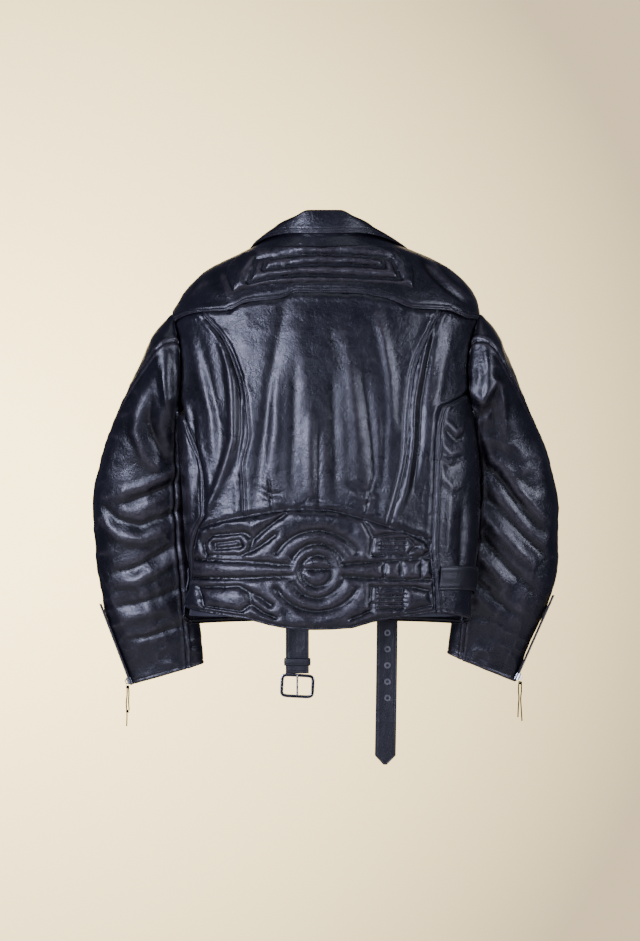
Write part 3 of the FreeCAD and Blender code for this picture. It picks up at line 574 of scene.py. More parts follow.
def cloth(name, base, light, scale=420.0):
    """Woven lining: diagonal ribs and soft unevenness."""
    f = Finish(name)
    wave = f.tree.nodes.new("ShaderNodeTexWave")
    wave.wave_type, wave.bands_direction = "BANDS", "DIAGONAL"
    wave.inputs["Scale"].default_value = scale
    wave.inputs["Distortion"].default_value = 1.0
    f.join(f.place, wave.inputs["Vector"])
    f.use("Base_Color", f.mix(f.span(f.noise(14.0, 3.0), 0.3, 0.7), base, light))
    f.use("Normal", f.bump(wave.outputs["Fac"], 0.3, 0.3, f.bump(f.noise(40.0, 3.0), 0.4, 2.0)))
    f.set(Roughness=0.62, Sheen_Weight=0.25, Sheen_Roughness=0.4)
    return f.material


def metal(name, base, dull, rough=(0.16, 0.34), bared=None):
    """Plated metal with faint scratches and cloudy patches; bared is the metal at worn edges."""
    f = Finish(name)
    scratches = f.noise(900.0, 3.0, 0.7, 2.0)
    tone = f.mix(f.span(f.noise(120.0, 4.0), 0.4, 0.7), base, dull)
    if bared:
        tone = f.mix(f.span(f.attribute("wear_and_shade"), 0.84, 1.0), tone, bared)
    f.use("Base_Color", tone)
    f.use("Roughness", f.span(scratches, 0.35, 0.65, *rough))
    f.use("Normal", f.bump(scratches, 0.12, 0.1))
    f.set(Metallic=1.0)
    return f.material


HIDE = leather("hide", (0.0050, 0.0048, 0.0075), (0.010, 0.0095, 0.0150), (0.040, 0.034, 0.038))
TRIM = leather(
    "trim_leather", (0.0045, 0.0043, 0.0060), (0.009, 0.0085, 0.012), (0.036, 0.030, 0.032),
    rough=(0.34, 0.5), grain=0.8,
)
STRAP_CORD = leather(
    "lace_leather", (0.006, 0.005, 0.006), (0.009, 0.008, 0.009), (0.02, 0.017, 0.017),
    rough=(0.8, 0.95), grain=0.6, coat=0.0, shine=0.03,
)
THREAD = thread("thread", (0.075, 0.074, 0.088))
LINING_CLOTH = cloth("lining_cloth", (0.020, 0.020, 0.026), (0.034, 0.034, 0.044))
TAPE_CLOTH = cloth("tape_cloth", (0.012, 0.012, 0.015), (0.02, 0.02, 0.024), 900.0)
BRIGHT = metal("bright_metal", (0.78, 0.78, 0.80), (0.55, 0.55, 0.58))
OLD_BRIGHT = metal("old_bright_metal", (0.30, 0.29, 0.29), (0.16, 0.155, 0.15), (0.25, 0.45))
WORN_METAL = metal(
    "worn_metal", (0.022, 0.022, 0.026), (0.014, 0.014, 0.017), (0.18, 0.36), bared=(0.7, 0.7, 0.72)
)


# ---------------------------------------------------------------- camera, light and floor
def add_camera():
    data = bpy.data.cameras.new("camera")
    data.lens, data.sensor_width = LENS, SENSOR
    camera = bpy.data.objects.new("camera", data)
    distance = VIEW_WIDE * LENS / SENSOR
    camera.location = (0.0, BACK_Y - distance, CAMERA_Z)
    camera.rotation_euler = (math.radians(90), 0, 0)
    bpy.context.scene.collection.objects.link(camera)
    bpy.context.scene.camera = camera


def add_light(name, place, target, size, power, colour):
    data = bpy.data.lights.new(name, "AREA")
    data.shape, data.size, data.size_y = "RECTANGLE", size[0], size[1]
    data.energy, data.color = power, colour
    light = bpy.data.objects.new(name, data)
    light.location = place
    light.rotation_euler = (Vector(target) - Vector(place)).to_track_quat("-Z", "Y").to_euler()
    bpy.context.scene.collection.objects.link(light)


# WALL_GLOW round GLOW_TOWARDS is a painted pool of light on the cream backdrop; the camera sees it, and it
# also lights the jacket from behind.
WALL_GLOW, WALL_COLOUR, DIM_SIDE = (5.8, 4.5, 2.1), (1.18, 0.93, 0.56), (0.072, 0.076, 0.115)
GLOW_TOWARDS = (-0.16, 0.985, -0.01)  # direction of the wall's brightest spot


def add_world():
    """A cream wall all round to look at, with a painted pool of light round its brightest spot; what lights
    the jacket is dim, apart from the wall behind it.
    """
    world = bpy.data.worlds.new("studio")
    bpy.context.scene.world = world
    world.use_nodes = True
    net = Network(world.node_tree)
    nodes = net.tree.nodes
    place = nodes.new("ShaderNodeTexCoord").outputs["Generated"]
    away = nodes.new("ShaderNodeVectorMath")
    away.operation = "DISTANCE"
    away.inputs[1].default_value = GLOW_TOWARDS
    net.join(place, away.inputs[0])
    wall = net.mix(net.span(away.outputs["Value"], 0.04, 0.33), WALL_GLOW, WALL_COLOUR)
    parts = nodes.new("ShaderNodeSeparateXYZ")
    net.join(place, parts.inputs[0])
    lighting = net.mix(net.span(parts.outputs["Y"], 0.88, 0.955), DIM_SIDE, wall)
    ray = nodes.new("ShaderNodeLightPath").outputs["Is Camera Ray"]
    net.join(net.mix(ray, lighting, wall), nodes["Background"].inputs["Color"])


FLOOR_HALF, FLOOR_Z = 1950.0, -1600.0


def add_floor():
    f = Finish("floor")
    f.use("Base_Color", f.mix(f.noise(3.0, 3.0), (0.72, 0.67, 0.58), (0.76, 0.71, 0.62)))
    f.set(Roughness=0.8)
    corners = [(FLOOR_HALF * a, FLOOR_HALF * b, FLOOR_Z) for a, b in ((-1, -1), (1, -1), (1, 1), (-1, 1))]
    floor = mesh_object("floor", corners, [(0, 1, 2, 3)], f.material)


add_camera()
add_world()
add_floor()
CHEST = (0.0, 0.0, -0.35)
add_light("key", (-1.5, -2.3, -0.05), CHEST, (0.5, 1.2), 76.0, (0.68, 0.71, 1.0))
add_light("fill", (1.9, -1.9, 0.0), CHEST, (0.4, 1.3), 34.0, (0.74, 0.77, 1.0))
add_light("front", (-0.55, -3.3, -0.45), CHEST, (0.4, 0.9), 13.0, (0.68, 0.72, 1.0))
add_light("top", (0.0, -0.9, 1.6), CHEST, (1.6, 0.5), 4.0, (0.85, 0.88, 1.0))


# ---------------------------------------------------------------- laces
LACE_DIAMETER = 0.0022
LACES = {
    "lace_left_long": [
        (-0.3270, 0.1135, -0.757), (-0.3260, 0.1120, -0.771), (-0.3285, 0.1130, -0.787),
        (-0.3265, 0.1150, -0.805), (-0.3275, 0.1140, -0.826),
    ],
    "lace_left_short": [
        (-0.3250, 0.1170, -0.757), (-0.3235, 0.1185, -0.770), (-0.3250, 0.1170, -0.784),
        (-0.3235, 0.1175, -0.799),
    ],
    "lace_right_long": [
        (0.3405, 0.1135, -0.750), (0.3415, 0.1120, -0.764), (0.3395, 0.1135, -0.779),
        (0.3410, 0.1145, -0.796), (0.3420, 0.1135, -0.817),
    ],
    "lace_right_short": [
        (0.3375, 0.1170, -0.750), (0.3360, 0.1185, -0.763), (0.3375, 0.1170, -0.778),
        (0.3360, 0.1160, -0.794), (0.3355, 0.1170, -0.811),
    ],
}


def cord_curve(name, route, diameter):
    name = shown_name(name)
    data = bpy.data.curves.new(name, "CURVE")
    data.dimensions, data.resolution_u = "3D", 10
    data.bevel_depth, data.bevel_resolution = diameter / 2, 4
    data.use_fill_caps = True
    spline = data.splines.new("NURBS")
    spline.points.add(len(route) - 1)
    for point, place in zip(spline.points, route):
        point.co = (*place, 1.0)
    spline.order_u = 3
    spline.use_endpoint_u = True
    data.materials.append(STRAP_CORD)
    obj = bpy.data.objects.new(name, data)
    bpy.context.scene.collection.objects.link(obj)
    return obj


def knot(name, centre, radius):
    """A small overhand knot: a tight coil round the thong."""
    turns = 3
    points = []
    for k in range(turns * 8 + 1):
        angle = 2 * math.pi * k / 8
        lift = radius * (k / (turns * 8) - 0.5) * 1.6
        reach = radius * (0.75 + 0.25 * math.cos(angle * 0.5))
        points.append((
            centre[0] + reach * math.cos(angle), centre[1] + reach * math.sin(angle),
            centre[2] + lift + 0.3 * radius * math.sin(angle * 0.5),
        ))
    return cord_curve(name, points, LACE_DIAMETER * 0.9)


def add_laces():
    for name, route in LACES.items():
        lace = cord_curve(name, route, LACE_DIAMETER)
        side = "left" if "left" in name else "right"
        body = f"cuff_zip_{side}_slider"
        fasten(lace, body, "lace_leather", name)
        pieces = []
        if name == "lace_left_long":
            x, y, z = route[3]
            pieces.append(knot("lace_knot_low", (x, y, z + 0.004), 0.0022))
            pieces.append(knot("lace_knot_high", (-0.3262, 0.1148, -0.7600), 0.0026))
        if name == "lace_right_long":
            pieces.append(knot("lace_knot_right", (0.3392, 0.1150, -0.7530), 0.0026))
        for piece in pieces:
            fasten(piece, body, "lace_leather")


add_laces()


# ---------------------------------------------------------------- folds of the back, x and z
BACK_FOLDS = [  # height, width, points
    # middle panel: long upright ridges with valleys beside them
    (3.2, 9, [(-14, -290), (-17, -350), (-15, -440)]),
    (2.4, 11, [(30, -150), (42, -195), (50, -240), (60, -330), (62, -445)]),
    (2.8, 8, [(89, -130), (104, -180), (114, -240), (119, -330)]),
    (2.4, 10, [(-74, -240), (-72, -320), (-78, -400)]),
    (-3.4, 10, [(-56, -112), (-78, -230), (-94, -360), (-104, -445)]),
    (-3.2, 9, [(70, -235), (84, -350), (94, -475)]),
    (-2.6, 8, [(20, -240), (22, -340), (26, -440)]),
    (-2.2, 8, [(-38, -200), (-42, -300), (-46, -430)]),
    (1.4, 12, [(-34, -150), (-38, -200), (-30, -260)]),
    (-2.0, 7, [(104, -300), (103, -380), (100, -440)]),
    # short crossing creases at the waist
    (-1.6, 5, [(-100, -420), (-80, -432), (-60, -430)]),
    (1.6, 5, [(-98, -430), (-76, -443), (-54, -440)]),
    (-1.5, 5, [(48, -415), (70, -428), (96, -424)]),
    (1.5, 5, [(46, -426), (70, -440), (94, -436)]),
    (-1.4, 5, [(-30, -448), (-8, -440), (18, -447)]),
    # darts
    (-3.0, 2.6, [(-2, -330), (-3, -390), (-3, -455)]),
    (-2.8, 2.4, [(-84, -400), (-81, -430), (-77, -456)]),
    (-2.8, 2.4, [(87, -400), (80, -430), (73, -462)]),
    # side backs: the pleats' soft outer folds and pulls from the armholes
    (5.4, 8, [
        (-158, -170), (-150, -215), (-142, -279), (-141, -343), (-156, -392), (-176, -441), (-189, -466),
    ]),
    (-6.0, 6, [(-178, -150), (-150, -190), (-131, -240), (-129, -330), (-140, -400)]),
    (2.2, 9, [(-214, -180), (-196, -230), (-178, -300), (-172, -370)]),
    (-2.4, 8, [(-200, -170), (-182, -240), (-164, -320), (-164, -380)]),
    (5.2, 8, [(178, -150), (165, -215), (152, -280), (150, -350), (140, -420), (126, -470)]),
    (-5.4, 6, [(190, -150), (178, -210), (166, -280), (162, -350), (152, -420)]),
    (2.4, 9, [(214, -170), (200, -230), (186, -290), (178, -370)]),
    (2.4, 6, [(203, -310), (222, -330), (236, -322)]),
    (-2.4, 6, [(200, -322), (220, -344), (238, -338)]),
    (2.2, 6, [(196, -345), (214, -366), (232, -360)]),
    (-2.0, 6, [(194, -372), (212, -388), (230, -382)]),
    (2.0, 7, [(196, -400), (216, -420), (236, -414)]),
    (2.2, 8, [(214, -430), (210, -480), (206, -540)]),
    (-2.4, 7, [(234, -440), (232, -500), (228, -560)]),
    (4.4, 7, [(-221, -268), (-219, -320), (-217, -380), (-212, -450), (-214, -520)]),
    (-3.6, 5, [(-208, -300), (-203, -360), (-199, -430)]),
]
YOKE_FOLDS = [
    (2.6, 7, [(173, -46), (194, -71), (211, -87), (251, -116)]),
    (2.6, 6, [(200, -50), (224, -74), (246, -96)]),
    (-2.6, 5, [(164, -50), (186, -78), (205, -96), (240, -120)]),
    (-2.4, 5, [(188, -50), (210, -74), (244, -106)]),
    (2.4, 6, [(-214, -108), (-198, -94), (-181, -80)]),
    (2.0, 6, [(-230, -112), (-218, -98), (-208, -84)]),
    (-2.0, 5, [(-222, -112), (-208, -98), (-192, -80)]),
    (1.6, 9, [(-160, -66), (-150, -100), (-140, -124)]),
    (1.4, 8, [(-60, -96), (0, -94), (70, -97)]),
    (-1.6, 5, [(-110, -112), (0, -99), (110, -108)]),
]
FRONT_FOLDS = [
    (2.6, 12, [(-150, -180), (-134, -240), (-136, -284)]),
    (-2.6, 10, [(-110, -200), (-100, -300), (-120, -400)]),
    (2.4, 11, [(-60, -380), (-40, -470), (-50, -560)]),
    (2.6, 12, [(190, -180), (170, -260), (180, -360)]),
    (-2.4, 10, [(150, -220), (140, -320), (150, -400)]),
    (2.2, 11, [(90, -380), (84, -470), (96, -560)]),
]


def hide_height(grid, kinds, folds, seed):
    """Sewn edges, chosen folds and the soft unevenness of worn hide, over a plain grid."""
    facing = ease(0.5 - grid_normals(grid, -1)[..., 1] * 1.2)
    if folds is FRONT_FOLDS:
        facing = 1 - facing
    height = sewn_height(grid, kinds, seed)
    height += strokes_height(grid[..., 0], grid[..., 2], folds) * facing
    stretched = grid * np.array([1.0, 1.0, 0.34])
    height += value_noise(stretched, 46.0, seed) + 0.35 * ridges(grid, 24.0, seed + 3)
    return height + 0.12 * value_noise(grid, 6.0, seed + 7)


def torso_panel(name, borders, counts, kinds, folds, seed):
    grid = torso_grid(*borders, *counts)
    obj, final = grid_object(name, grid, HIDE, hide_height(grid, edge_kinds(kinds), folds, seed))
    fasten(obj, "root", "hide", name)
    return final


def edge_kinds(words):
    """The kinds of a panel's start, end, top and foot edge, from four words."""
    return dict(zip(("start", "end", "top", "foot"), words.split()))


outer_l, outer_r = back_outer(-1), back_outer(1)
front_l, front_r = front_outer(-1), front_outer(1)
inner_l, inner_r = front_inner(-1), front_inner(1)
pleat_l, pleat_r = seam(PLEAT_LEFT), seam(PLEAT_RIGHT)
side_l, side_r = seam(SIDE_SEAM_LEFT), seam(SIDE_SEAM_RIGHT)
yoke_line, kidney_line = across(YOKE_SEAM), across(KIDNEY_TOP)
armpit_l = flat(ARMHOLE_Z[0] - 1)
armpit_r = smooth([(56, -264), (76, -272), (87, -298), (94, ARMHOLE_Z[0] - 1)])
side_hem_l = smooth([(-FRONT_SEAM_DEG, FRONT_HEM_Z), (-64, FRONT_HEM_Z + 30)])
side_hem_r = smooth([(52, FRONT_HEM_Z + 24), (FRONT_SEAM_DEG, FRONT_HEM_Z)])
seam_l, seam_r = flat(-FRONT_SEAM_DEG), flat(FRONT_SEAM_DEG)

SHELL = {  # borders, counts of points, kinds of edges (see edge_kinds), folds
    "back_yoke": (
        (flat(NECK_Z + 5), yoke_line, outer_l, outer_r), (210, 64), "lap lap seam lap", YOKE_FOLDS,
    ),
    "back_centre_panel": (
        (yoke_line, kidney_line, pleat_l, pleat_r), (130, 170), "lap lap under under", BACK_FOLDS,
    ),
    "back_side_panel_left": (
        (yoke_line, kidney_line, outer_l, pleat_l), (70, 170), "under under under under", BACK_FOLDS,
    ),
    "back_side_panel_right": (
        (yoke_line, kidney_line, pleat_r, outer_r), (70, 170), "under under under under", BACK_FOLDS,
    ),
    "side_panel_left": (
        (armpit_l, side_hem_l, seam_l, outer_l), (60, 160), "seam lap under hem", BACK_FOLDS,
    ),
    "side_panel_right": (
        (armpit_r, side_hem_r, outer_r, seam_r), (70, 160), "lap seam under hem", BACK_FOLDS,
    ),
    "front_panel_left": (
        (neck_z, flat(FRONT_HEM_Z), inner_l, front_l), (120, 200), "hem seam seam hem", FRONT_FOLDS,
    ),
    "front_panel_right": (
        (neck_z, flat(FRONT_HEM_Z), front_r, inner_r), (100, 200), "seam hem seam hem", FRONT_FOLDS,
    ),
}
surfaces = {
    name: torso_panel(name, borders, counts, kinds, folds, seed=3 + 5 * k)
    for k, (name, (borders, counts, kinds, folds)) in enumerate(SHELL.items())
}


# ---------------------------------------------------------------- sleeves
SLEEVE_LEFT = [
    (-250, -136, -244, -296, 58, 56), (-271, -158, -244, -310, 64, 74), (-296, -203, -242, -328, 72, 66),
    (-336, -295, -239, -353, 86, 60), (-366, -375, -232, -399, 96, 54), (-382, -451, -229, -454, 104, 50),
    (-377, -544, -222, -522, 111, 46), (-363, -629, -210, -599, 116, 40), (-339, -697, -204, -663, 120, 30),
    (-317, -755, -200, -721, 122, 20),
]
SLEEVE_RIGHT = [
    (268, -136, 258, -296, 58, 56), (289, -154, 260, -306, 64, 74), (322, -225, 262, -328, 76, 66),
    (355, -308, 262, -355, 88, 60), (382, -375, 262, -399, 98, 54), (400, -460, 256, -454, 106, 50),
    (401, -544, 246, -527, 112, 46), (386, -612, 227, -599, 116, 40), (356, -677, 221, -655, 120, 30),
    (328, -750, 216, -704, 122, 20),
]
ARMHOLE_LIFT, SLEEVE_POWER, CAP_SHARE, SLEEVE_LINING_DEPTH = 2.0, 2.3, 0.16, 5.0
ELBOW_SEAM = smooth([(0.0, -69.0), (0.2, -48.0), (0.4, -14.0), (0.6, -8.0), (1.0, -8.0)])
UNDER_SEAM = smooth([(0.0, -150.0), (0.6, -138.0), (1.0, -123.0)])
SLEEVE_TUCK = 12.0  # how much fuller a sleeve is where it hangs against the body


def sleeve_surface(side):
    """Outer face of a sleeve, by the angle round it and the share down it."""
    stations = SLEEVE_LEFT if side < 0 else SLEEVE_RIGHT
    last = len(stations) - 1
    lines = [smooth([(k / last, row[i]) for k, row in enumerate(stations)]) for i in range(6)]

    def value(psi, t):
        psi, t = np.broadcast_arrays(np.asarray(psi, float), np.asarray(t, float))
        c, s = np.cos(np.radians(psi)), np.sin(np.radians(psi))
        x_out, z_out, x_in, z_in, y_mid, half_depth = [line(t) for line in lines]
        reach = signed_power(c, 2 / SLEEVE_POWER)
        tube = vec(
            (x_out + x_in) / 2 + (x_out - x_in) / 2 * reach,
            y_mid + half_depth * signed_power(s, 2 / SLEEVE_POWER),
            (z_out + z_in) / 2 + (z_out - z_in) / 2 * reach,
        )
        keep = (1 - ease(t / CAP_SHARE))[..., None]
        turn = np.where(s > 0, ARMHOLE_FRONT_DEG, ARMHOLE_BACK_DEG)
        phi = side * (90 + np.sign(s) * turn * np.abs(s) ** 0.84)
        hole = torso_off(phi, armhole_mid + armhole_half * c, ARMHOLE_LIFT)
        return hole * keep + tube * (1 - keep)

    return value


SLEEVE_FOLDS = {
    -1: [
        (-6.0, 9, [(-278, -262), (-284, -311), (-272, -345), (-256, -380)]),
        (4.2, 9, [(-256, -280), (-262, -320), (-250, -360)]),
        (4.6, 9, [(-300, -280), (-306, -330), (-290, -372), (-262, -396)]),
        (-5.0, 8, [(-338, -452), (-300, -440), (-262, -424), (-232, -404)]),
        (3.8, 8, [(-344, -434), (-300, -420), (-262, -404), (-240, -388)]),
        (-5.6, 9, [(-366, -448), (-340, -476), (-300, -486), (-258, -470), (-232, -452)]),
        (4.2, 9, [(-366, -476), (-336, -502), (-296, -508), (-256, -494)]),
        (-4.4, 8, [(-352, -566), (-310, -556), (-270, -534), (-240, -512)]),
        (3.6, 8, [(-350, -586), (-306, -576), (-266, -556), (-236, -536)]),
        (-3.4, 7, [(-346, -622), (-306, -616), (-262, -600), (-224, -584)]),
        (2.8, 8, [(-340, -642), (-300, -636), (-256, -622)]),
        (-3.0, 6, [(-330, -676), (-290, -672), (-250, -658), (-216, -650)]),
        (3.0, 12, [(-304, -220), (-330, -290), (-350, -350), (-362, -410)]),
        (2.6, 12, [(-300, -520), (-296, -580), (-286, -640), (-276, -690)]),
        (-2.6, 7, [(-262, -206), (-268, -250), (-262, -290)]),
    ],
    1: [
        (4.6, 7, [(236, -262), (247, -256), (268, -277), (288, -248), (297, -254), (304, -300), (306, -350)]),
        (-5.6, 8, [(246, -280), (264, -300), (284, -290), (290, -330)]),
        (4.0, 9, [(262, -320), (280, -350), (290, -390)]),
        (-5.2, 9, [(276, -370), (300, -410), (330, -450), (362, -492)]),
        (4.2, 9, [(296, -372), (322, -412), (352, -448), (380, -480)]),
        (-5.2, 9, [(270, -430), (304, -464), (340, -502), (378, -540)]),
        (4.0, 9, [(262, -452), (294, -488), (330, -526), (366, -560)]),
        (-4.2, 8, [(256, -486), (286, -524), (322, -562), (352, -590)]),
        (3.4, 8, [(252, -512), (280, -548), (314, -586)]),
        (-3.4, 7, [(244, -560), (276, -590), (312, -622), (340, -640)]),
        (2.6, 8, [(240, -584), (270, -612), (300, -640)]),
        (3.4, 11, [(318, -210), (344, -280), (366, -340), (380, -400)]),
        (2.6, 12, [(340, -520), (346, -570), (334, -630), (320, -680)]),
        (-2.8, 7, [(262, -190), (270, -235), (264, -270)]),
    ],
}


def sleeve_height(side, grid, psi, t):
    """Seams down the sleeve, the two hems, folds on the back and softer ones in front."""
    reach = np.linalg.norm(np.diff(grid, axis=0, append=grid[:1]), axis=2)
    per_degree = reach.mean() / (360 / psi.shape[0])
    facing = ease(0.5 - grid_normals(grid, -side)[..., 1] * 1.2)
    height = strokes_height(grid[..., 0], grid[..., 2], SLEEVE_FOLDS[side]) * facing
    lengthwise = np.cumsum(np.linalg.norm(np.diff(grid, axis=1, prepend=grid[:, :1]), axis=2), axis=1)
    for line in (ELBOW_SEAM, UNDER_SEAM):
        gap = ((psi - line(t) + 180) % 360 - 180) * per_degree
        d = np.abs(gap)
        step = np.where(gap * side > 0, 1.0, 0.0) * bell(d, 12)
        pucker = value_noise(grid, 7.5, 11) * bell(d, 8)
        height += 1.3 * bell(d - 5, 3.2) - 2.6 * bell(d, 1.7) + 0.9 * step + 0.7 * pucker
    height += edge_height("under", lengthwise, grid, 17)
    height += edge_height("hem", lengthwise[:, -1:] - lengthwise, grid, 19)
    inside = np.abs(psi % 360 - 180)
    height += SLEEVE_TUCK * bell(inside, 48) * ease((t - 0.015) / 0.05) * ease((0.86 - t) / 0.14)
    slanted = grid @ np.array([[0.8, 0, 0.35 * side], [0, 0.7, 0], [-0.35 * side, 0, 0.9]])
    fold_room = ease(t / 0.14)
    loose = 2.4 * value_noise(slanted, 62.0, 21) * (1 - 0.5 * facing) + 1.1 * ridges(slanted, 36.0, 23)
    crumple = 0.9 * ridges(slanted, 22.0, 25) * ease(value_noise(grid, 90.0, 29) + 0.6)
    return height + fold_room * (loose + crumple) + 0.12 * value_noise(grid, 6.0, 27)


sleeve_skins = {}  # shares down the sleeve, points and normals, by side


def add_sleeve(side):
    word = WORD[side]
    surface = sleeve_surface(side)
    around, down = 190, 260
    psi = (np.arange(around) * 360.0 / around)[:, None] + np.zeros((1, down))
    t = spread(down, 0.55)[None, :] + np.zeros((around, 1))
    grid = surface(psi, t)
    height = sleeve_height(side, grid, psi, t)
    normals = closed_normals(grid, -side)
    final = grid + normals * height[..., None]
    sleeve_skins[side] = (t[0], final, closed_normals(final, -side))
    faces = grid_faces(around, down, flip=side > 0, closed=True)
    obj = mesh_object(f"sleeve_{word}", final.reshape(-1, 3), faces, HIDE, wear_and_shade_of(height, final))
    thicken(obj)
    bend(obj)
    parts = [f"{part}_{panel}_{word}" for part in ("upper", "forearm") for panel in ("back", "front")]
    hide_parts(*parts)
    lining_t = np.clip(t, 0.05, 0.975)
    inner = surface(psi, lining_t)
    depth = SLEEVE_LINING_DEPTH + 0.8 * ridges(inner, 30.0, 31)
    inner = inner - closed_normals(inner, -side) * depth[..., None]
    lining = mesh_object(f"sleeve_lining_{word}", inner.reshape(-1, 3), faces, LINING_CLOTH)
    bend(lining)
    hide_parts(f"upper_lining_{word}", f"forearm_lining_{word}")


def closed_normals(grid, way):
    """Normals of a grid whose first index runs round and closes."""
    wrapped = np.concatenate([grid[-1:], grid, grid[:1]])
    return grid_normals(wrapped, way)[1:-1]


def bend(obj):
    """Bakes a sleeve piece's placement into its mesh."""
    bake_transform(obj)


for arm in (-1, 1):
    add_sleeve(arm)


# ---------------------------------------------------------------- padded pieces, filled by simulation
FRAMES, PRESSURE, STIFFNESS, GROWTH = 16, 3.0, 8.0, 0.008


def simulate(obj, held):
    """Fills the cloth between its held points with air. Returns the new vertex places in millimetres."""
    group = obj.vertex_groups.new(name="held")
    for index, weight in enumerate(held):
        if weight > 0:
            group.add([index], float(weight), "REPLACE")
    cloth_mod = obj.modifiers.new("cloth", "CLOTH")
    settings = cloth_mod.settings
    settings.quality = 6
    settings.mass = 0.25
    settings.vertex_group_mass = "held"
    settings.tension_stiffness = settings.compression_stiffness = STIFFNESS
    settings.shear_stiffness = STIFFNESS * 0.6
    settings.bending_stiffness = 6.0
    settings.shrink_min = -GROWTH
    settings.use_pressure = True
    settings.uniform_pressure_force = PRESSURE
    settings.use_pressure_volume = True
    settings.target_volume = 0.0
    settings.effector_weights.gravity = 0.0
    settings.air_damping = 4.0
    cloth_mod.point_cache.frame_start, cloth_mod.point_cache.frame_end = 1, FRAMES
    scene = bpy.context.scene
    for frame_number in range(1, FRAMES + 1):
        scene.frame_set(frame_number)
    places = evaluated_places(obj)
    obj.modifiers.clear()
    scene.frame_set(1)
    return places


def evaluated_places(obj):
    depsgraph = bpy.context.evaluated_depsgraph_get()
    mesh = obj.evaluated_get(depsgraph).data
    flat_places = np.empty(len(mesh.vertices) * 3, np.float32)
    mesh.vertices.foreach_get("co", flat_places)
    return flat_places.reshape(-1, 3).astype(float) / MM


def quilted(name, grid, channels, puff, room, seed):
    """A padded piece sewn down along its channels and round its border, puffed out between them.
    puff is its height in millimetres and room how far from a channel it takes to rise."""
    nu, nv = grid.shape[:2]
    x, z = grid[..., 0], grid[..., 2]
    near = np.min([stroke_distance(x, z, line)[0] for line in channels], axis=0)
    rim = np.min(list(edge_distances(grid).values()), axis=0)
    near = np.minimum(near, np.abs(rim - QUILT_ROW))
    uneven = 1 + 0.28 * value_noise(grid, 26.0, seed + 4)
    full = puff * uneven * (1 - np.exp(-((near / room) ** 1.5)))
    normals = grid_normals(grid, -1)
    start = grid + normals * (full * 0.75 - 1.5)[..., None]
    final = grid + normals * (full - 1.5)[..., None]
    obj = mesh_object(name + "_cloth", start.reshape(-1, 3), grid_faces(nu, nv, flip=True), HIDE)
    held = np.where(near < 1.3, 1.0, 0.0)
    held = np.maximum(held, np.where(rim < 3.4, 1.0, 0.0)).ravel()
    places = simulate(obj, held).reshape(nu, nv, 3)
    bpy.data.objects.remove(obj)
    moved = np.einsum("ijk,ijk->ij", places - grid, normals)
    sideways = (places - grid) - normals * moved[..., None]
    moved = 0.5 * np.clip(moved, -2.0, puff * 1.25) + 0.5 * (full - 1.5)
    final = grid + normals * moved[..., None] + 0.6 * np.clip(sideways, -1.5, 1.5)
    pucker = value_noise(grid, 5.5, seed) * bell(near, 5.0)
    rise = 1.1 * pucker - 0.6 * bell(near, 1.0) - 2.2 * bell(rim, 1.4)
    rise += 0.45 * ridges(grid, 15.0, seed + 2) * (1 - bell(near, 3.0))
    height = full + rise
    final = final + normals * rise[..., None]
    obj = mesh_object(name, final.reshape(-1, 3), grid_faces(nu, nv, flip=True), HIDE, wear_and_shade_of(height, grid))
    thicken(obj, 2.4)
    fasten(obj, "root", "hide", name)
    return final


def arched(corner_z, middle_z, corner_deg):
    return lambda phi: middle_z + (corner_z - middle_z) * np.minimum(1.0, np.abs(phi / corner_deg)) ** 4


pad_left = smooth(sorted((z, float(phi_at(x, z))) for z, x, _ in PAD_SIDES))
pad_right = smooth(sorted((z, float(phi_at(x, z))) for z, _, x in PAD_SIDES))
PAD_CHANNELS = [
    [(-104, -49), (-49, -42), (0, -40), (49, -42), (118, -48), (130, -82), (32, -76), (-32, -75),
     (-81, -79), (-116, -87), (-104, -49)],
    [(-92, -65), (-49, -60), (0, -57), (49, -58), (104, -62), (102, -47)],
    [(-92, -65), (-88, -47)],
]
pad_grid = torso_grid(arched(*PAD_TOP), arched(*PAD_FOOT), pad_left, pad_right, 170, 56, PAD_LIFT - 6.5)
pad_final = quilted("yoke_pad", pad_grid, PAD_CHANNELS, puff=8.5, room=4.6, seed=41)


def ring(x, z, radius, start, end, squeeze=1.0):
    """An arc as points, angles in degrees from the right, counting up over the top."""
    angles = np.radians(np.linspace(start, end, 13))
    return [(x + radius * math.cos(a), z + squeeze * radius * math.sin(a)) for a in angles]


def louvres(x0, x1, z0, z1, count):
    return [[(x0, z), (x1, z)] for z in np.linspace(z0, z1, count)]


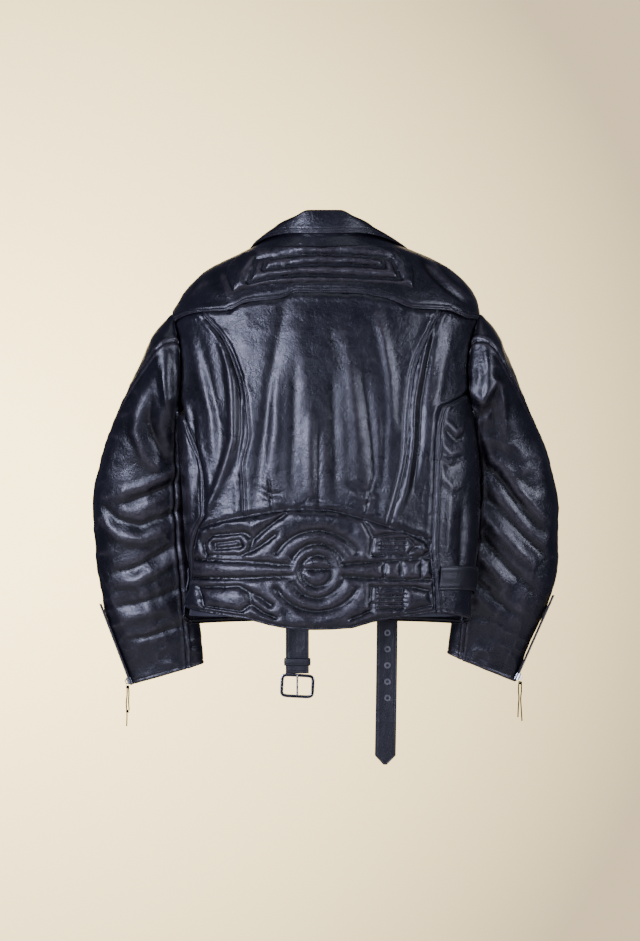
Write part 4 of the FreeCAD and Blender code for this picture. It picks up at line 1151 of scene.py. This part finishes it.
DISC_X, DISC_Z = -5.0, -556.0
KIDNEY_CHANNELS = [
    ring(DISC_X, DISC_Z, 26, 0, 360), [(-29, -553), (19, -553)],
    ring(DISC_X, DISC_Z, 44, 25, 155), ring(DISC_X, DISC_Z, 44, 205, 335),
    ring(DISC_X, DISC_Z, 73, 28, 152, 0.9), ring(DISC_X, DISC_Z, 73, 208, 332, 0.9),
    # tapering bands left and right of the disc
    [(-212, -538), (-120, -541), (-48, -546)], [(-212, -569), (-120, -568), (-48, -564)],
    [(206, -534), (120, -539), (38, -545)], [(206, -570), (120, -570), (38, -565)],
    [(105, -541), (104, -568)], [(133, -539), (132, -569)], [(166, -538), (165, -569)],
    # upper left cell, nested, and its channel to the top
    [(-186, -531), (-190, -512), (-176, -499), (-124, -494), (-108, -504), (-114, -524), (-130, -532),
     (-186, -531)],
    [(-170, -521), (-172, -512), (-132, -506), (-128, -516), (-170, -521)],
    [(-108, -504), (-84, -484), (-57, -464)], [(-114, -526), (-92, -512), (-74, -498)],
    # lower left cell
    [(-198, -584), (-190, -614), (-128, -622), (-112, -610), (-116, -590), (-132, -581), (-198, -584)],
    [(-112, -610), (-92, -624), (-73, -632)], [(-116, -590), (-96, -600), (-80, -612)],
    # upper right cell: louvres, arrow and rounded end
    [(84, -531), (86, -500), (140, -492), (172, -508), (180, -522), (168, -533), (84, -531)],
    *louvres(97, 138, -504, -528, 5),
    [(142, -502), (156, -516), (142, -529)],
    # lower right cell
    *louvres(94, 136, -588, -616, 5),
    [(84, -582), (84, -620), (52, -634)], [(84, -582), (150, -582), (178, -588), (182, -612), (140, -622)],
    [(70, -470), (86, -500)],
]
kidney_grid = torso_grid(kidney_line, across(KIDNEY_FOOT), side_l, side_r, 230, 96, KIDNEY_LIFT - 2.0)
kidney_final = quilted("kidney_panel", kidney_grid, KIDNEY_CHANNELS, puff=6.0, room=5.4, seed=51)


# ---------------------------------------------------------------- lining, storm flap and lapels
LINING_DEPTH, QUILT_SIZE = 9.0, 21.0


def add_lining():
    """The body's lining: five sheets inside the panels, quilted in diamonds."""
    hem = flat(HEM_Z + 30)

    def neckline(phi):
        return neck_z(phi) - 8

    sheets = [
        (flat(NECK_Z - 2), hem, outer_l, outer_r),
        (armpit_l, hem, seam_l, outer_l), (armpit_l, hem, outer_r, seam_r),
        (neckline, hem, inner_l, front_l), (neckline, hem, front_r, inner_r),
    ]
    points, faces = [], []
    for k, borders in enumerate(sheets):
        grid = torso_grid(*borders, 90, 110)
        x, z = grid[..., 0], grid[..., 2]
        inward = vec((left_edge(z) + right_edge(z)) / 2, wide_line(z), z) - grid
        inward /= np.linalg.norm(inward, axis=-1, keepdims=True)
        quilt = 1.2 * np.abs(np.sin((x + z) / QUILT_SIZE) * np.sin((x - z) / QUILT_SIZE)) ** 0.4
        depth = LINING_DEPTH - quilt + 0.8 * ridges(grid, 40.0, 61 + k)
        grid = grid + inward * depth[..., None] - vec(0, 0, 6.0)
        nu, nv = grid.shape[:2]
        offset = len(points)
        points += grid.reshape(-1, 3).tolist()
        faces += [tuple(offset + i for i in face) for face in grid_faces(nu, nv, flip=True)]
    obj = mesh_object("torso_lining", points, faces, LINING_CLOTH)
    thicken(obj, 1.0)
    fasten(obj, "root", "lining_cloth", "torso_lining")


add_lining()


FLAP_TOP_Z, FLAP_FOOT_Z = -300.0, -640.0
FLAP_HALF, FLAP_LIFT = 24, -3.6


def add_storm_flap():
    """The leather flap behind the front zip, between hide and lining."""

    def border(side):
        return lambda z: unwrapped(phi_at(zip_x(z) + side * FLAP_HALF, z, front=True), 1)

    grid = torso_grid(flat(FLAP_TOP_Z), flat(FLAP_FOOT_Z), border(1), border(-1), 24, 140, FLAP_LIFT)
    height = sewn_height(grid, edge_kinds("hem hem cut cut"), 71) + 0.4 * ridges(grid, 26.0, 72)
    obj, _ = grid_object("storm_flap", grid, TRIM, np.minimum(height, 0.6), thick=2.0)
    fasten(obj, "root", "hide", "storm_flap")


add_storm_flap()


def add_lapel(side):
    """A folded lapel: it rises from its fold in a roll and lies on the front."""
    word = WORD[side]
    roll = roll_x(side)

    def fold(z):
        return unwrapped(phi_at(roll(z), z, front=True), side)

    def edge(z):
        return unwrapped(phi_at(roll(z) + side * (3 + LAPEL_WIDTH(z)), z, front=True), side)

    first, second, kinds = (fold, edge, "cut hem hem hem") if side < 0 else (edge, fold, "hem cut hem hem")
    grid = torso_grid(lambda phi: GORGE(np.abs(phi)), flat(LAPEL_FOOT_Z), first, second, 60, 110)
    from_fold = edge_distances(grid)["start" if side < 0 else "end"]
    curl = np.sqrt(np.clip(1 - (1 - np.clip(from_fold / LAPEL_ROLL, 0, 1)) ** 2, 0, 1))
    height = LAPEL_LIFT * curl + 1.0 + sewn_height(grid, edge_kinds(kinds), 81) + 0.8 * ridges(grid, 40.0, 83)
    obj, final = grid_object(f"lapel_{word}", grid, HIDE, height, thick=2.6)
    fasten(obj, "root", "hide", f"lapel_{word}")
    return final


lapel_finals = {arm: add_lapel(arm) for arm in (-1, 1)}


# ---------------------------------------------------------------- collar
def round_neck(phi, rise, reach):
    """Points round the neck seam, raised and moved outwards."""
    outward = vec(np.sin(np.radians(phi)), -np.cos(np.radians(phi)), 0 * phi)
    return torso(phi, neck_z(phi)) + vec(0, 0, rise) + outward * np.asarray(reach)[..., None]


def add_collar():
    """Stand, fold and fall in one sheet: the stand rises, turns over and falls outside."""
    phi = np.linspace(-COLLAR_DEG, COLLAR_DEG, 300)
    a = np.abs(phi)
    rows = []
    for t in np.linspace(0, 1, 14)[:-1]:
        rows.append(round_neck(phi, 1.0 + (FOLD_RISE(a) - 4.0) * t, FOLD_REACH(a) * t - 4))
    for t in np.linspace(0, 1, 9)[:-1]:
        angle = math.pi * t
        rise = FOLD_RISE(a) - 3.0 + 3.4 * math.sin(angle)
        rows.append(round_neck(phi, rise, FOLD_REACH(a) - 1 - 3.0 * math.cos(angle)))
    start = round_neck(phi, FOLD_RISE(a) - 3.0, FOLD_REACH(a) + 2)
    foot = torso_off(phi, FREE_EDGE_Z(a) - 2.0, COLLAR_LIFT - 1.5)
    for t in np.linspace(0, 1, 44):
        rows.append(start + (foot - start) * t + vec(0, 0, 6 * math.sin(math.pi * t)) * 0.8)
    grid = np.stack(rows, axis=1)
    distances = edge_distances(grid)
    d = distances["foot"]
    side_d = np.minimum(distances["start"], distances["end"])
    height = -0.8 * (bell(d - COLLAR_NEAR, 1.0) + bell(d - FAR, 1.0))
    height += 0.6 * bell(d - 6.4, 1.6) - 1.2 * bell(d, 1.4)
    height += 0.5 * value_noise(grid, 8.0, 91) * bell(d - 6, 7) - 1.0 * bell(side_d, 1.4)
    height += 0.5 * value_noise(grid, 46.0, 93) * bell(d - 22, 16)
    obj, final = grid_object("collar", grid, HIDE, height, thick=2.4)
    fasten(obj, "root", "trim_leather", "collar_stand", "collar_fall")
    return final


collar_final = add_collar()


# ---------------------------------------------------------------- belt and buckle
BELT_WIDTH, BELT_THICK, BELT_LIFT = 40.0, 3.0, 5.6
BELT_Z_SEAM, BELT_Z_LOOP = -568.0, -590.0
LOOP_X_LEFT, LOOP_X_RIGHT = -54.0, 134.0
LOOP_DEGREES = (127.0, 143.0)
TAIL_Y = 174.0
TAIL_LEFT_X, TAIL_LEFT_FOOT = -39.0, -742.0
KEEPER_Z = -722.0
TAIL_RIGHT_X, TAIL_RIGHT_FOOT = 116.0, -899.0


def belt_middle(phi):
    return BELT_Z_SEAM + (BELT_Z_LOOP - BELT_Z_SEAM) * ease((np.abs(phi) - 62) / 70)


def strap_height(grid, seed):
    """A belt's face: edges rounded down and one stitch groove along each long side."""
    distances = edge_distances(grid)
    d = np.minimum(distances["top"], distances["foot"])
    edge = -0.9 * bell(d, 0.9) - 0.45 * bell(d - BELT_ROW, 0.8) + 0.3 * bell(d - 7, 3)
    return edge + 0.35 * ridges(grid, 22.0, seed)


belt_finals = []


def add_belt_band(side):
    """The belt from its side seam to the front loop from which its end hangs."""
    word = WORD[side]
    last = LOOP_X_LEFT if side < 0 else LOOP_X_RIGHT
    end = float(unwrapped(phi_at(last, BELT_Z_LOOP, front=True), side))
    start = float(seam(SIDE_SEAM_LEFT if side < 0 else SIDE_SEAM_RIGHT)(BELT_Z_SEAM)) + side * 3.0
    low, high = min(start, end), max(start, end)
    half = BELT_WIDTH / 2
    grid = torso_grid(
        lambda phi: belt_middle(phi) + half, lambda phi: belt_middle(phi) - half, flat(low), flat(high),
        300, 34, BELT_LIFT,
    )
    obj, final = grid_object(f"belt_band_{word}", grid, TRIM, strap_height(grid, 101), thick=BELT_THICK)
    fasten(obj, "root", "trim_leather", f"belt_band_{word}")
    belt_finals.append(final)


def loop_plate(phi, normal_lift):
    """One belt loop: a strip of hide over the belt, its ends turned in to the jacket."""
    z = float(belt_middle(phi))
    centre = torso_off(phi, z, 0.0)
    out = torso_off(phi, z, 1.0) - centre
    out /= np.linalg.norm(out)
    up = np.array([0.0, 0.0, 1.0])
    up -= out * up.dot(out)
    up /= np.linalg.norm(up)
    along = np.cross(up, out)
    half = BELT_WIDTH / 2 + 5.0
    t = np.linspace(-1, 1, 49)
    rise = normal_lift * (1 - np.abs(t) ** 14) ** 0.5
    w = np.linspace(-6.2, 6.2, 13)
    return centre + up * (half * t)[None, :, None] + out * rise[None, :, None] + along * w[:, None, None]


def add_belt_loops():
    """Four loops over the belt in front, as one piece."""
    points, faces = [], []
    for side in (-1, 1):
        for degrees in LOOP_DEGREES:
            grid = loop_plate(side * degrees, BELT_LIFT + 3.4)
            distances = edge_distances(grid)
            d = np.minimum(distances["start"], distances["end"])
            grid = grid + grid_normals(grid, 1) * (-0.6 * bell(d, 0.9) - 0.4 * bell(d - 2.4, 0.7))[..., None]
            faces += [tuple(len(points) + i for i in face) for face in grid_faces(*grid.shape[:2])]
            points += grid.reshape(-1, 3).tolist()
    obj = mesh_object("belt_loops", points, faces, TRIM)
    thicken(obj, 2.0)
    fasten(obj, "root", "trim_leather", "belt_loops")


def strap(name, body, x, half, foot, tip=0.0, lean=0.0):
    """A hanging strap, rounded at its edges. tip is the length of its point and lean how far its foot
    strays sideways. Returns its outer and its inner face."""
    nu, nv = 33, 180
    top = BELT_Z_LOOP + BELT_WIDTH / 2
    t = spread(nv, 0.3)
    u = np.linspace(-1, 1, nu)[:, None]
    z = top + (foot - top) * t
    width = 0.16 + 0.84 * np.clip((z - foot) / tip, 0, 1) if tip else np.ones(nv)
    grid = vec(x + lean * t ** 1.5 + half * u * width, TAIL_Y, z)
    d = edge_distances(grid)
    rim = np.minimum(np.minimum(d["start"], d["end"]), d["foot"])
    cup = 0.9 * u ** 2 * np.sin(math.pi * t)
    groove, edge = 0.5 * bell(rim - BELT_ROW, 0.8), 0.8 * bell(rim, 0.9)
    outward = vec(0, 1, 0)
    outer = grid + outward * (0.25 * ridges(grid, 24.0, 105) - groove - cup - edge)[..., None]
    inner = grid + outward * (edge - BELT_THICK - cup)[..., None]
    back = inner + outward * (groove - 0.25 * ridges(grid, 24.0, 106))[..., None]
    points = np.concatenate([outer.reshape(-1, 3), back.reshape(-1, 3)])
    count = nu * nv
    faces = grid_faces(nu, nv)
    faces += [tuple(count + i for i in face[::-1]) for face in faces]
    loop = list(range(nv)) + [i * nv + nv - 1 for i in range(1, nu)]
    loop += [(nu - 1) * nv + j for j in range(nv - 2, -1, -1)] + [i * nv for i in range(nu - 2, 0, -1)]
    faces += [(a, b, count + b, count + a) for a, b in zip(loop, loop[1:] + loop[:1])]
    wear_and_shade = np.tile(0.9 * bell(rim, 1.2).ravel(), 2)
    obj = mesh_object(name, points, faces, TRIM, wear_and_shade)
    fasten(obj, body, "trim_leather", name)
    return outer, back


def add_keeper():
    """The leather ring round the folded end: a rounded band."""
    room, power, count = 1.4, 0.28, 64
    angles = np.linspace(0, 2 * math.pi, count, endpoint=False)[:, None]
    z = np.linspace(KEEPER_Z - 6, KEEPER_Z + 6, 13)
    grid = vec(
        TAIL_LEFT_X + (BELT_WIDTH / 2 + room) * signed_power(np.cos(angles), power),
        TAIL_Y - BELT_THICK / 2 + (BELT_THICK / 2 + room) * signed_power(np.sin(angles), power), z,
    )
    d = np.minimum(z - z[0], z[-1] - z)
    grid = grid + closed_normals(grid, 1) * (-0.5 * bell(d, 1.0) - 0.3 * bell(d - 2.6, 0.7))[..., None]
    obj = mesh_object("belt_keeper", grid.reshape(-1, 3), grid_faces(*grid.shape[:2], closed=True), TRIM)
    thicken(obj, 1.6, outside=1.0)
    fasten(obj, "belt_left", "trim_leather", "belt_keeper")


for arm in (-1, 1):
    add_belt_band(arm)
add_belt_loops()
tail_left = strap("belt_tail_left", "belt_left", TAIL_LEFT_X, 20.0, TAIL_LEFT_FOOT)
tail_right = strap("belt_tail_right", "belt_right", TAIL_RIGHT_X, 18.0, TAIL_RIGHT_FOOT, tip=16.0, lean=-4.0)
add_keeper()


BUCKLE_WIDTH, BUCKLE_HEIGHT = 59.0, 42.0
BUCKLE_TILT = math.radians(3.0)
BUCKLE_HALF_BAR, BUCKLE_HALF_DEEP = 2.9, 1.7
BAR_DROP = 3.2  # the buckle's bar below the foot of its strap


def add_buckle():
    """A rounded rectangular frame with a flat broad bar, its edges worn bright."""
    turn, section = 128, 20
    a = np.linspace(0, 2 * math.pi, turn, endpoint=False)
    b = np.linspace(0, 2 * math.pi, section, endpoint=False)
    bar_z = TAIL_LEFT_FOOT - BAR_DROP
    centre_z = bar_z - BUCKLE_HEIGHT / 2 + BUCKLE_HALF_BAR
    x = (BUCKLE_WIDTH / 2 - BUCKLE_HALF_BAR) * signed_power(np.cos(a), 0.3)
    z = (BUCKLE_HEIGHT / 2 - BUCKLE_HALF_BAR) * signed_power(np.sin(a), 0.3)
    path = vec(x, 0 * x, z)
    ahead = np.roll(path, -1, axis=0) - np.roll(path, 1, axis=0)
    ahead /= np.linalg.norm(ahead, axis=1, keepdims=True)
    out = np.cross(ahead, np.array([0.0, 1.0, 0.0]))
    across_bar, deep = signed_power(np.cos(b), 0.6), signed_power(np.sin(b), 0.6)
    grid = path[:, None, :] + out[:, None, :] * (BUCKLE_HALF_BAR * across_bar)[None, :, None]
    grid = grid + vec(0, 1.0, 0) * (BUCKLE_HALF_DEEP * deep)[None, :, None]
    c, s = math.cos(BUCKLE_TILT), math.sin(BUCKLE_TILT)
    centre = np.array([TAIL_LEFT_X, TAIL_Y - BELT_THICK / 2, centre_z])
    grid = grid @ np.array([[c, 0, -s], [0, 1, 0], [s, 0, c]]) + centre
    faces = []
    for i in range(turn):
        for j in range(section):
            k, m = (i + 1) % turn, (j + 1) % section
            faces.append((i * section + j, k * section + j, k * section + m, i * section + m))
    wear_and_shade = np.tile(bell(np.abs(np.abs(across_bar * deep) - 0.6), 0.35)[None, :], (turn, 1))
    obj = mesh_object("buckle_frame", grid.reshape(-1, 3), faces, WORN_METAL, wear_and_shade)
    fasten(obj, "buckle_frame", "dark_metal", "buckle_frame")


add_buckle()


# ---------------------------------------------------------------- stitches
class Stitching:
    """Gathers stitches as small rounded bars, then makes them one piece."""

    def __init__(self):
        self.points, self.faces = [], []

    def row(self, line, normals, pitch=3.4, long=2.3, wide=0.62):
        """Stitches along a line of points with their normals."""
        line, normals = np.asarray(line), np.asarray(normals)
        reach = np.concatenate([[0], np.cumsum(np.linalg.norm(np.diff(line, axis=0), axis=1))])
        if reach[-1] < pitch:
            return
        middles = np.arange(pitch / 2, reach[-1], pitch)

        def at(values, where):
            return np.stack([np.interp(where, reach, values[:, k]) for k in range(3)], axis=-1)

        start, end = at(line, middles - long / 2), at(line, middles + long / 2)
        up = at(normals, middles)
        up /= np.maximum(np.linalg.norm(up, axis=1, keepdims=True), 1e-9)
        along = end - start
        along /= np.maximum(np.linalg.norm(along, axis=1, keepdims=True), 1e-9)
        side = np.cross(up, along)
        section = [(0.0, 0.8), (0.9, 0.0), (0.0, -0.8), (-0.9, 0.0)]
        for k in range(len(middles)):
            base = len(self.points)
            centre = (start[k] + end[k]) / 2 - up[k] * 0.1 * wide
            for place, size in ((-0.5, 0.35), (-0.3, 1.0), (0.3, 1.0), (0.5, 0.35)):
                heart = centre + along[k] * long * place - up[k] * (0.5 * wide if size < 1 else 0.0)
                for a, b in section:
                    self.points.append(heart + (side[k] * a + up[k] * b) * wide * 0.5 * size)
            for step in range(3):
                for q in range(4):
                    a, b = base + step * 4 + q, base + step * 4 + (q + 1) % 4
                    self.faces.append((a, b, b + 4, a + 4))
            self.faces.append((base + 3, base + 2, base + 1, base))
            self.faces.append((base + 12, base + 13, base + 14, base + 15))

    def make(self, name):
        return mesh_object(name, self.points, self.faces, THREAD)


def inset_line(grid, way, edge, inset, trim=0.0):
    """Points and normals on a grid, this far in from one of its edges."""
    d = edge_distances(grid)
    level = edge in ("top", "foot")
    first, second = ("start", "end") if level else ("top", "foot")
    values = [grid, grid_normals(grid, way), d[edge], np.minimum(d[first], d[second])]
    if not level:
        values = [value.swapaxes(0, 1) for value in values]
    line, ups = [], []
    for points, ns, far, from_ends in zip(*values):
        if from_ends.min() < trim or far.max() < inset:
            continue
        order = np.argsort(far)
        line.append([np.interp(inset, far[order], points[order, k]) for k in range(3)])
        ups.append([np.interp(inset, far[order], ns[order, k]) for k in range(3)])
    return np.array(line), np.array(ups)


def project(grid, way, points, step=3.0):
    """A run of x, z points laid onto a back-facing grid, with its normals."""
    flat_points = grid.reshape(-1, 3)
    flat_normals = grid_normals(grid, way).reshape(-1, 3)
    line, ups = [], []
    for (x0, z0), (x1, z1) in zip(points, points[1:]):
        count = max(2, int(math.hypot(x1 - x0, z1 - z0) / step))
        for t in np.linspace(0, 1, count, endpoint=False):
            gap = np.hypot(flat_points[:, 0] - x0 - (x1 - x0) * t, flat_points[:, 2] - z0 - (z1 - z0) * t)
            near = np.argsort(gap)[:4]
            weight = 1 / (gap[near] + 0.05)
            weight = (weight / weight.sum())[:, None]
            line.append((flat_points[near] * weight).sum(axis=0))
            ups.append((flat_normals[near] * weight).sum(axis=0))
    return np.array(line), np.array(ups)


FINE_STITCH = {"pitch": 3.0, "long": 1.9, "wide": 0.5}
EDGE_STITCHES = {
    "back_yoke": [
        ("foot", NEAR), ("foot", FAR), ("start", NEAR), ("end", NEAR), ("start", FAR), ("end", FAR),
    ],
    "back_centre_panel": [("start", NEAR), ("start", FAR), ("end", NEAR), ("end", FAR)],
    "side_panel_left": [("end", NEAR), ("end", FAR), ("foot", HEM)],
    "side_panel_right": [("start", NEAR), ("start", FAR), ("foot", HEM)],
    "front_panel_left": [("start", HEM), ("foot", HEM), ("end", 4.0)],
    "front_panel_right": [("end", HEM), ("foot", HEM), ("start", 4.0)],
}
DART_STITCHES = [
    [(-5, -334), (-6, -452)], [(1, -334), (0, -452)], [(-81, -404), (-74, -454)], [(84, -404), (70, -458)],
]


def add_torso_stitches():
    sewing = Stitching()
    for name, rows in EDGE_STITCHES.items():
        for edge, inset in rows:
            line, ups = inset_line(surfaces[name], -1, edge, inset, trim=1.5)
            if len(line):
                sewing.row(line, ups)
    for dart in DART_STITCHES:
        sewing.row(*project(surfaces["back_centre_panel"], -1, dart))
    for final, channels in ((kidney_final, KIDNEY_CHANNELS), (pad_final, PAD_CHANNELS)):
        for channel in channels:
            sewing.row(*project(final, -1, channel), **FINE_STITCH)
    for final in (kidney_final, pad_final):
        for edge in ("start", "end", "top", "foot"):
            sewing.row(*inset_line(final, -1, edge, QUILT_ROW, trim=2.5))
    for inset in (COLLAR_NEAR, FAR):
        sewing.row(*inset_line(collar_final, -1, "foot", inset, trim=3.0))
    for final in belt_finals:
        for edge in ("top", "foot"):
            sewing.row(*inset_line(final, -1, edge, BELT_ROW))
    for side, final in lapel_finals.items():
        for edge in ("end" if side < 0 else "start", "top"):
            sewing.row(*inset_line(final, -1, edge, HEM, trim=5.0))
    obj = sewing.make("torso_stitches")
    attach(obj, "root")


def add_strap_stitches(name, tail, body):
    sewing = Stitching()
    outer, back = tail
    for grid, normal in ((outer, (0.0, 1.0, 0.0)), (back, (0.0, -1.0, 0.0))):
        for edge in ("start", "end"):
            line, _ = inset_line(grid, 1, edge, BELT_ROW, trim=1.0)
            sewing.row(line, np.tile(normal, (len(line), 1)))
    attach(sewing.make(name), body)


def sleeve_line(side, psi_of_t):
    """Points and normals down a sleeve's outside, along the angle given for each share of the way."""
    rows_t, final, normals = sleeve_skins[side]
    around = final.shape[0]
    line, ups = [], []
    for share in np.linspace(0.012, 0.992, 300):
        turn = (float(psi_of_t(share)) % 360) / 360 * around
        i = int(turn) % around
        part = turn - int(turn)
        j = min(int(np.searchsorted(rows_t, share)), final.shape[1] - 1)
        j0 = max(j - 1, 0)
        span = rows_t[j] - rows_t[j0]
        down = (share - rows_t[j0]) / span if span > 0 else 0.0
        for values, out in ((final, line), (normals, ups)):
            column = values[i] * (1 - part) + values[(i + 1) % around] * part
            out.append(column[j0] * (1 - down) + column[j] * down)
    return np.array(line), np.array(ups)


def add_sleeve_stitches(side):
    word = WORD[side]
    sewing = Stitching()
    mm_per_degree = 1.35
    for gap in (2.6, FAR):
        degrees = side * gap / mm_per_degree
        sewing.row(*sleeve_line(side, lambda share: ELBOW_SEAM(share) + degrees))
    sewing.row(*sleeve_line(side, lambda share: UNDER_SEAM(share) + side * 2.6))
    final, normals = sleeve_skins[side][1:]
    reach = np.cumsum(np.linalg.norm(np.diff(final, axis=1, prepend=final[:, :1]), axis=2), axis=1)
    line, ups = [], []
    for i in [*range(final.shape[0]), 0]:
        far = reach[i, -1] - reach[i]
        order = np.argsort(far)
        line.append([np.interp(HEM, far[order], final[i, order, k]) for k in range(3)])
        ups.append([np.interp(HEM, far[order], normals[i, order, k]) for k in range(3)])
    sewing.row(line, ups)
    obj = sewing.make(f"sleeve_stitches_{word}")
    bend(obj)


add_torso_stitches()
add_strap_stitches("stitches_tail_left", tail_left, "belt_left")
add_strap_stitches("stitches_tail_right", tail_right, "belt_right")
for arm in (-1, 1):
    add_sleeve_stitches(arm)


# ---------------------------------------------------------------- zips: tapes and teeth
CHAIN_THICK = 2.4
ZIP_PLACES = {
    "front_zip": ((60.5, -309), (24, -607)),
    "hand_pocket_zip_left": ((-84, -420), (-138, -548)),
    "hand_pocket_zip_right": ((126, -420), (170, -548)),
    "chest_pocket_zip": ((-70, -352), (-150, -322)),
}
CUFF_ZIP_T, CUFF_ZIP_PSI, CUFF_ZIP_LIFT = (0.985, 0.76), -8.0, (3.4, 6.0)


def zip_frame(name):
    """Where a zip starts, its direction, its normal and its length."""
    (x0, z0), (x1, z1) = ZIP_PLACES[name]
    ends = [torso(phi_at(x, z, True), z) for x, z in ((x0, z0), (x1, z1))]
    x_mid, z_mid = (x0 + x1) / 2, (z0 + z1) / 2
    middle = torso(phi_at(x_mid, z_mid, True), z_mid)
    normal = (torso_off(phi_at(x_mid, z_mid, True), z_mid, 10.0) - middle) * 0.1
    lift = normal * (2.6 + max(0.0, float((middle - (ends[0] + ends[1]) / 2) @ normal)))
    return ends[0] + lift, ends[1] - ends[0], normal


def cuff_zip_frame(side):
    surface = sleeve_surface(side)

    def lifted(t, lift):
        n = normals_of(surface, CUFF_ZIP_PSI, t, 1.0, 0.004)
        return surface(CUFF_ZIP_PSI, t) - side * lift * n

    start, end = [lifted(t, lift) for t, lift in zip(CUFF_ZIP_T, CUFF_ZIP_LIFT)]
    return start, end - start, start - surface(CUFF_ZIP_PSI, CUFF_ZIP_T[0])


def block(points, faces, centre, axes, sizes):
    """A small bar with slightly drawn-in ends."""
    base = len(points)
    for a in (-1, 1):
        for b in (-1, 1):
            for c in (-1, 1):
                squeeze = 0.72 if c > 0 else 1.0
                points.append(
                    centre + axes[0] * a * sizes[0] / 2 * squeeze + axes[1] * b * sizes[1] / 2 * squeeze
                    + axes[2] * c * sizes[2] / 2
                )
    for quad in ((0, 1, 3, 2), (4, 6, 7, 5), (0, 4, 5, 1), (2, 3, 7, 6), (0, 2, 6, 4), (1, 5, 7, 3)):
        faces.append(tuple(base + i for i in quad))


TOOTH_PITCH, TAPE_IN, TAPE_OUT = 2.6, 1.6, 8.5
CHAIN_LEAD = 8  # the chain starts this far above the zip's first place


def add_zip(name, body, place, finish):
    """The chain's single teeth and the two tapes that carry them."""
    start, run, normal = place
    length = float(np.linalg.norm(run))
    along = run / length
    normal = normal - along * (normal @ along)
    normal /= np.linalg.norm(normal)
    side = np.cross(normal, along)
    points, faces = [], []
    for way in (-1, 1):
        for k in range(int((length + CHAIN_LEAD) / TOOTH_PITCH)):
            s = -CHAIN_LEAD + TOOTH_PITCH * k + (TOOTH_PITCH / 2 if way > 0 else 0.0) + 0.7
            centre = start + along * s + side * way * 1.1 + normal * CHAIN_THICK / 2
            block(points, faces, centre, (along, side, normal), (1.35, 3.3, CHAIN_THICK))
    teeth = mesh_object(name + "_chain", points, faces, finish, smooth_shading=False)
    fasten(teeth, body, "bright_metal", name + "_chain")
    tape_points, tape_faces = [], []
    s = np.linspace(-CHAIN_LEAD, length, 40)
    w = np.linspace(TAPE_IN, TAPE_OUT, 7)
    for way in (-1, 1):
        grid = start + along * s[None, :, None] + side * (way * w)[:, None, None]
        grid = grid + normal * (0.9 - 0.12 * (w - TAPE_IN))[:, None, None]
        grid = grid + 0.15 * value_noise(grid, 5.0, 7)[..., None] * normal
        offset = len(tape_points)
        tape_points += grid.reshape(-1, 3).tolist()
        tape_faces += [tuple(offset + i for i in face) for face in grid_faces(7, 40, flip=way < 0)]
    tape = mesh_object(name + "_tape", tape_points, tape_faces, TAPE_CLOTH)
    thicken(tape, 0.7)
    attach(tape, body)


for zip_name in ZIP_PLACES:
    add_zip(zip_name, "root", zip_frame(zip_name), BRIGHT)
for arm, word in WORD.items():
    add_zip(f"cuff_zip_{word}", f"forearm_{word}", cuff_zip_frame(arm), OLD_BRIGHT)


# ---------------------------------------------------------------- fittings kept from the CAD
def dress(node_name, material, bevel_mm=0.0):
    """Gives a CAD node that is shown as it is its material and, if asked, rounded edges."""
    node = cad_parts[node_name]
    node.data.materials.clear()
    node.data.materials.append(material)
    if bevel_mm:
        bevel = node.modifiers.new("edges", "BEVEL")
        bevel.width, bevel.segments, bevel.limit_method = bevel_mm * MM, 3, "ANGLE"


for zip_name in ZIP_PLACES:
    dress(zip_name + "_slider", BRIGHT, 0.35)
    dress(zip_name + "_pull", BRIGHT, 0.3)
for word in WORD.values():
    dress(f"cuff_zip_{word}_slider", BRIGHT, 0.35)
dress("buckle_prong", BRIGHT, 0.4)
dress("belt_eyelets", OLD_BRIGHT, 0.2)
dress("lapel_studs", BRIGHT, 0.6)
dress("hang_loop", TRIM)
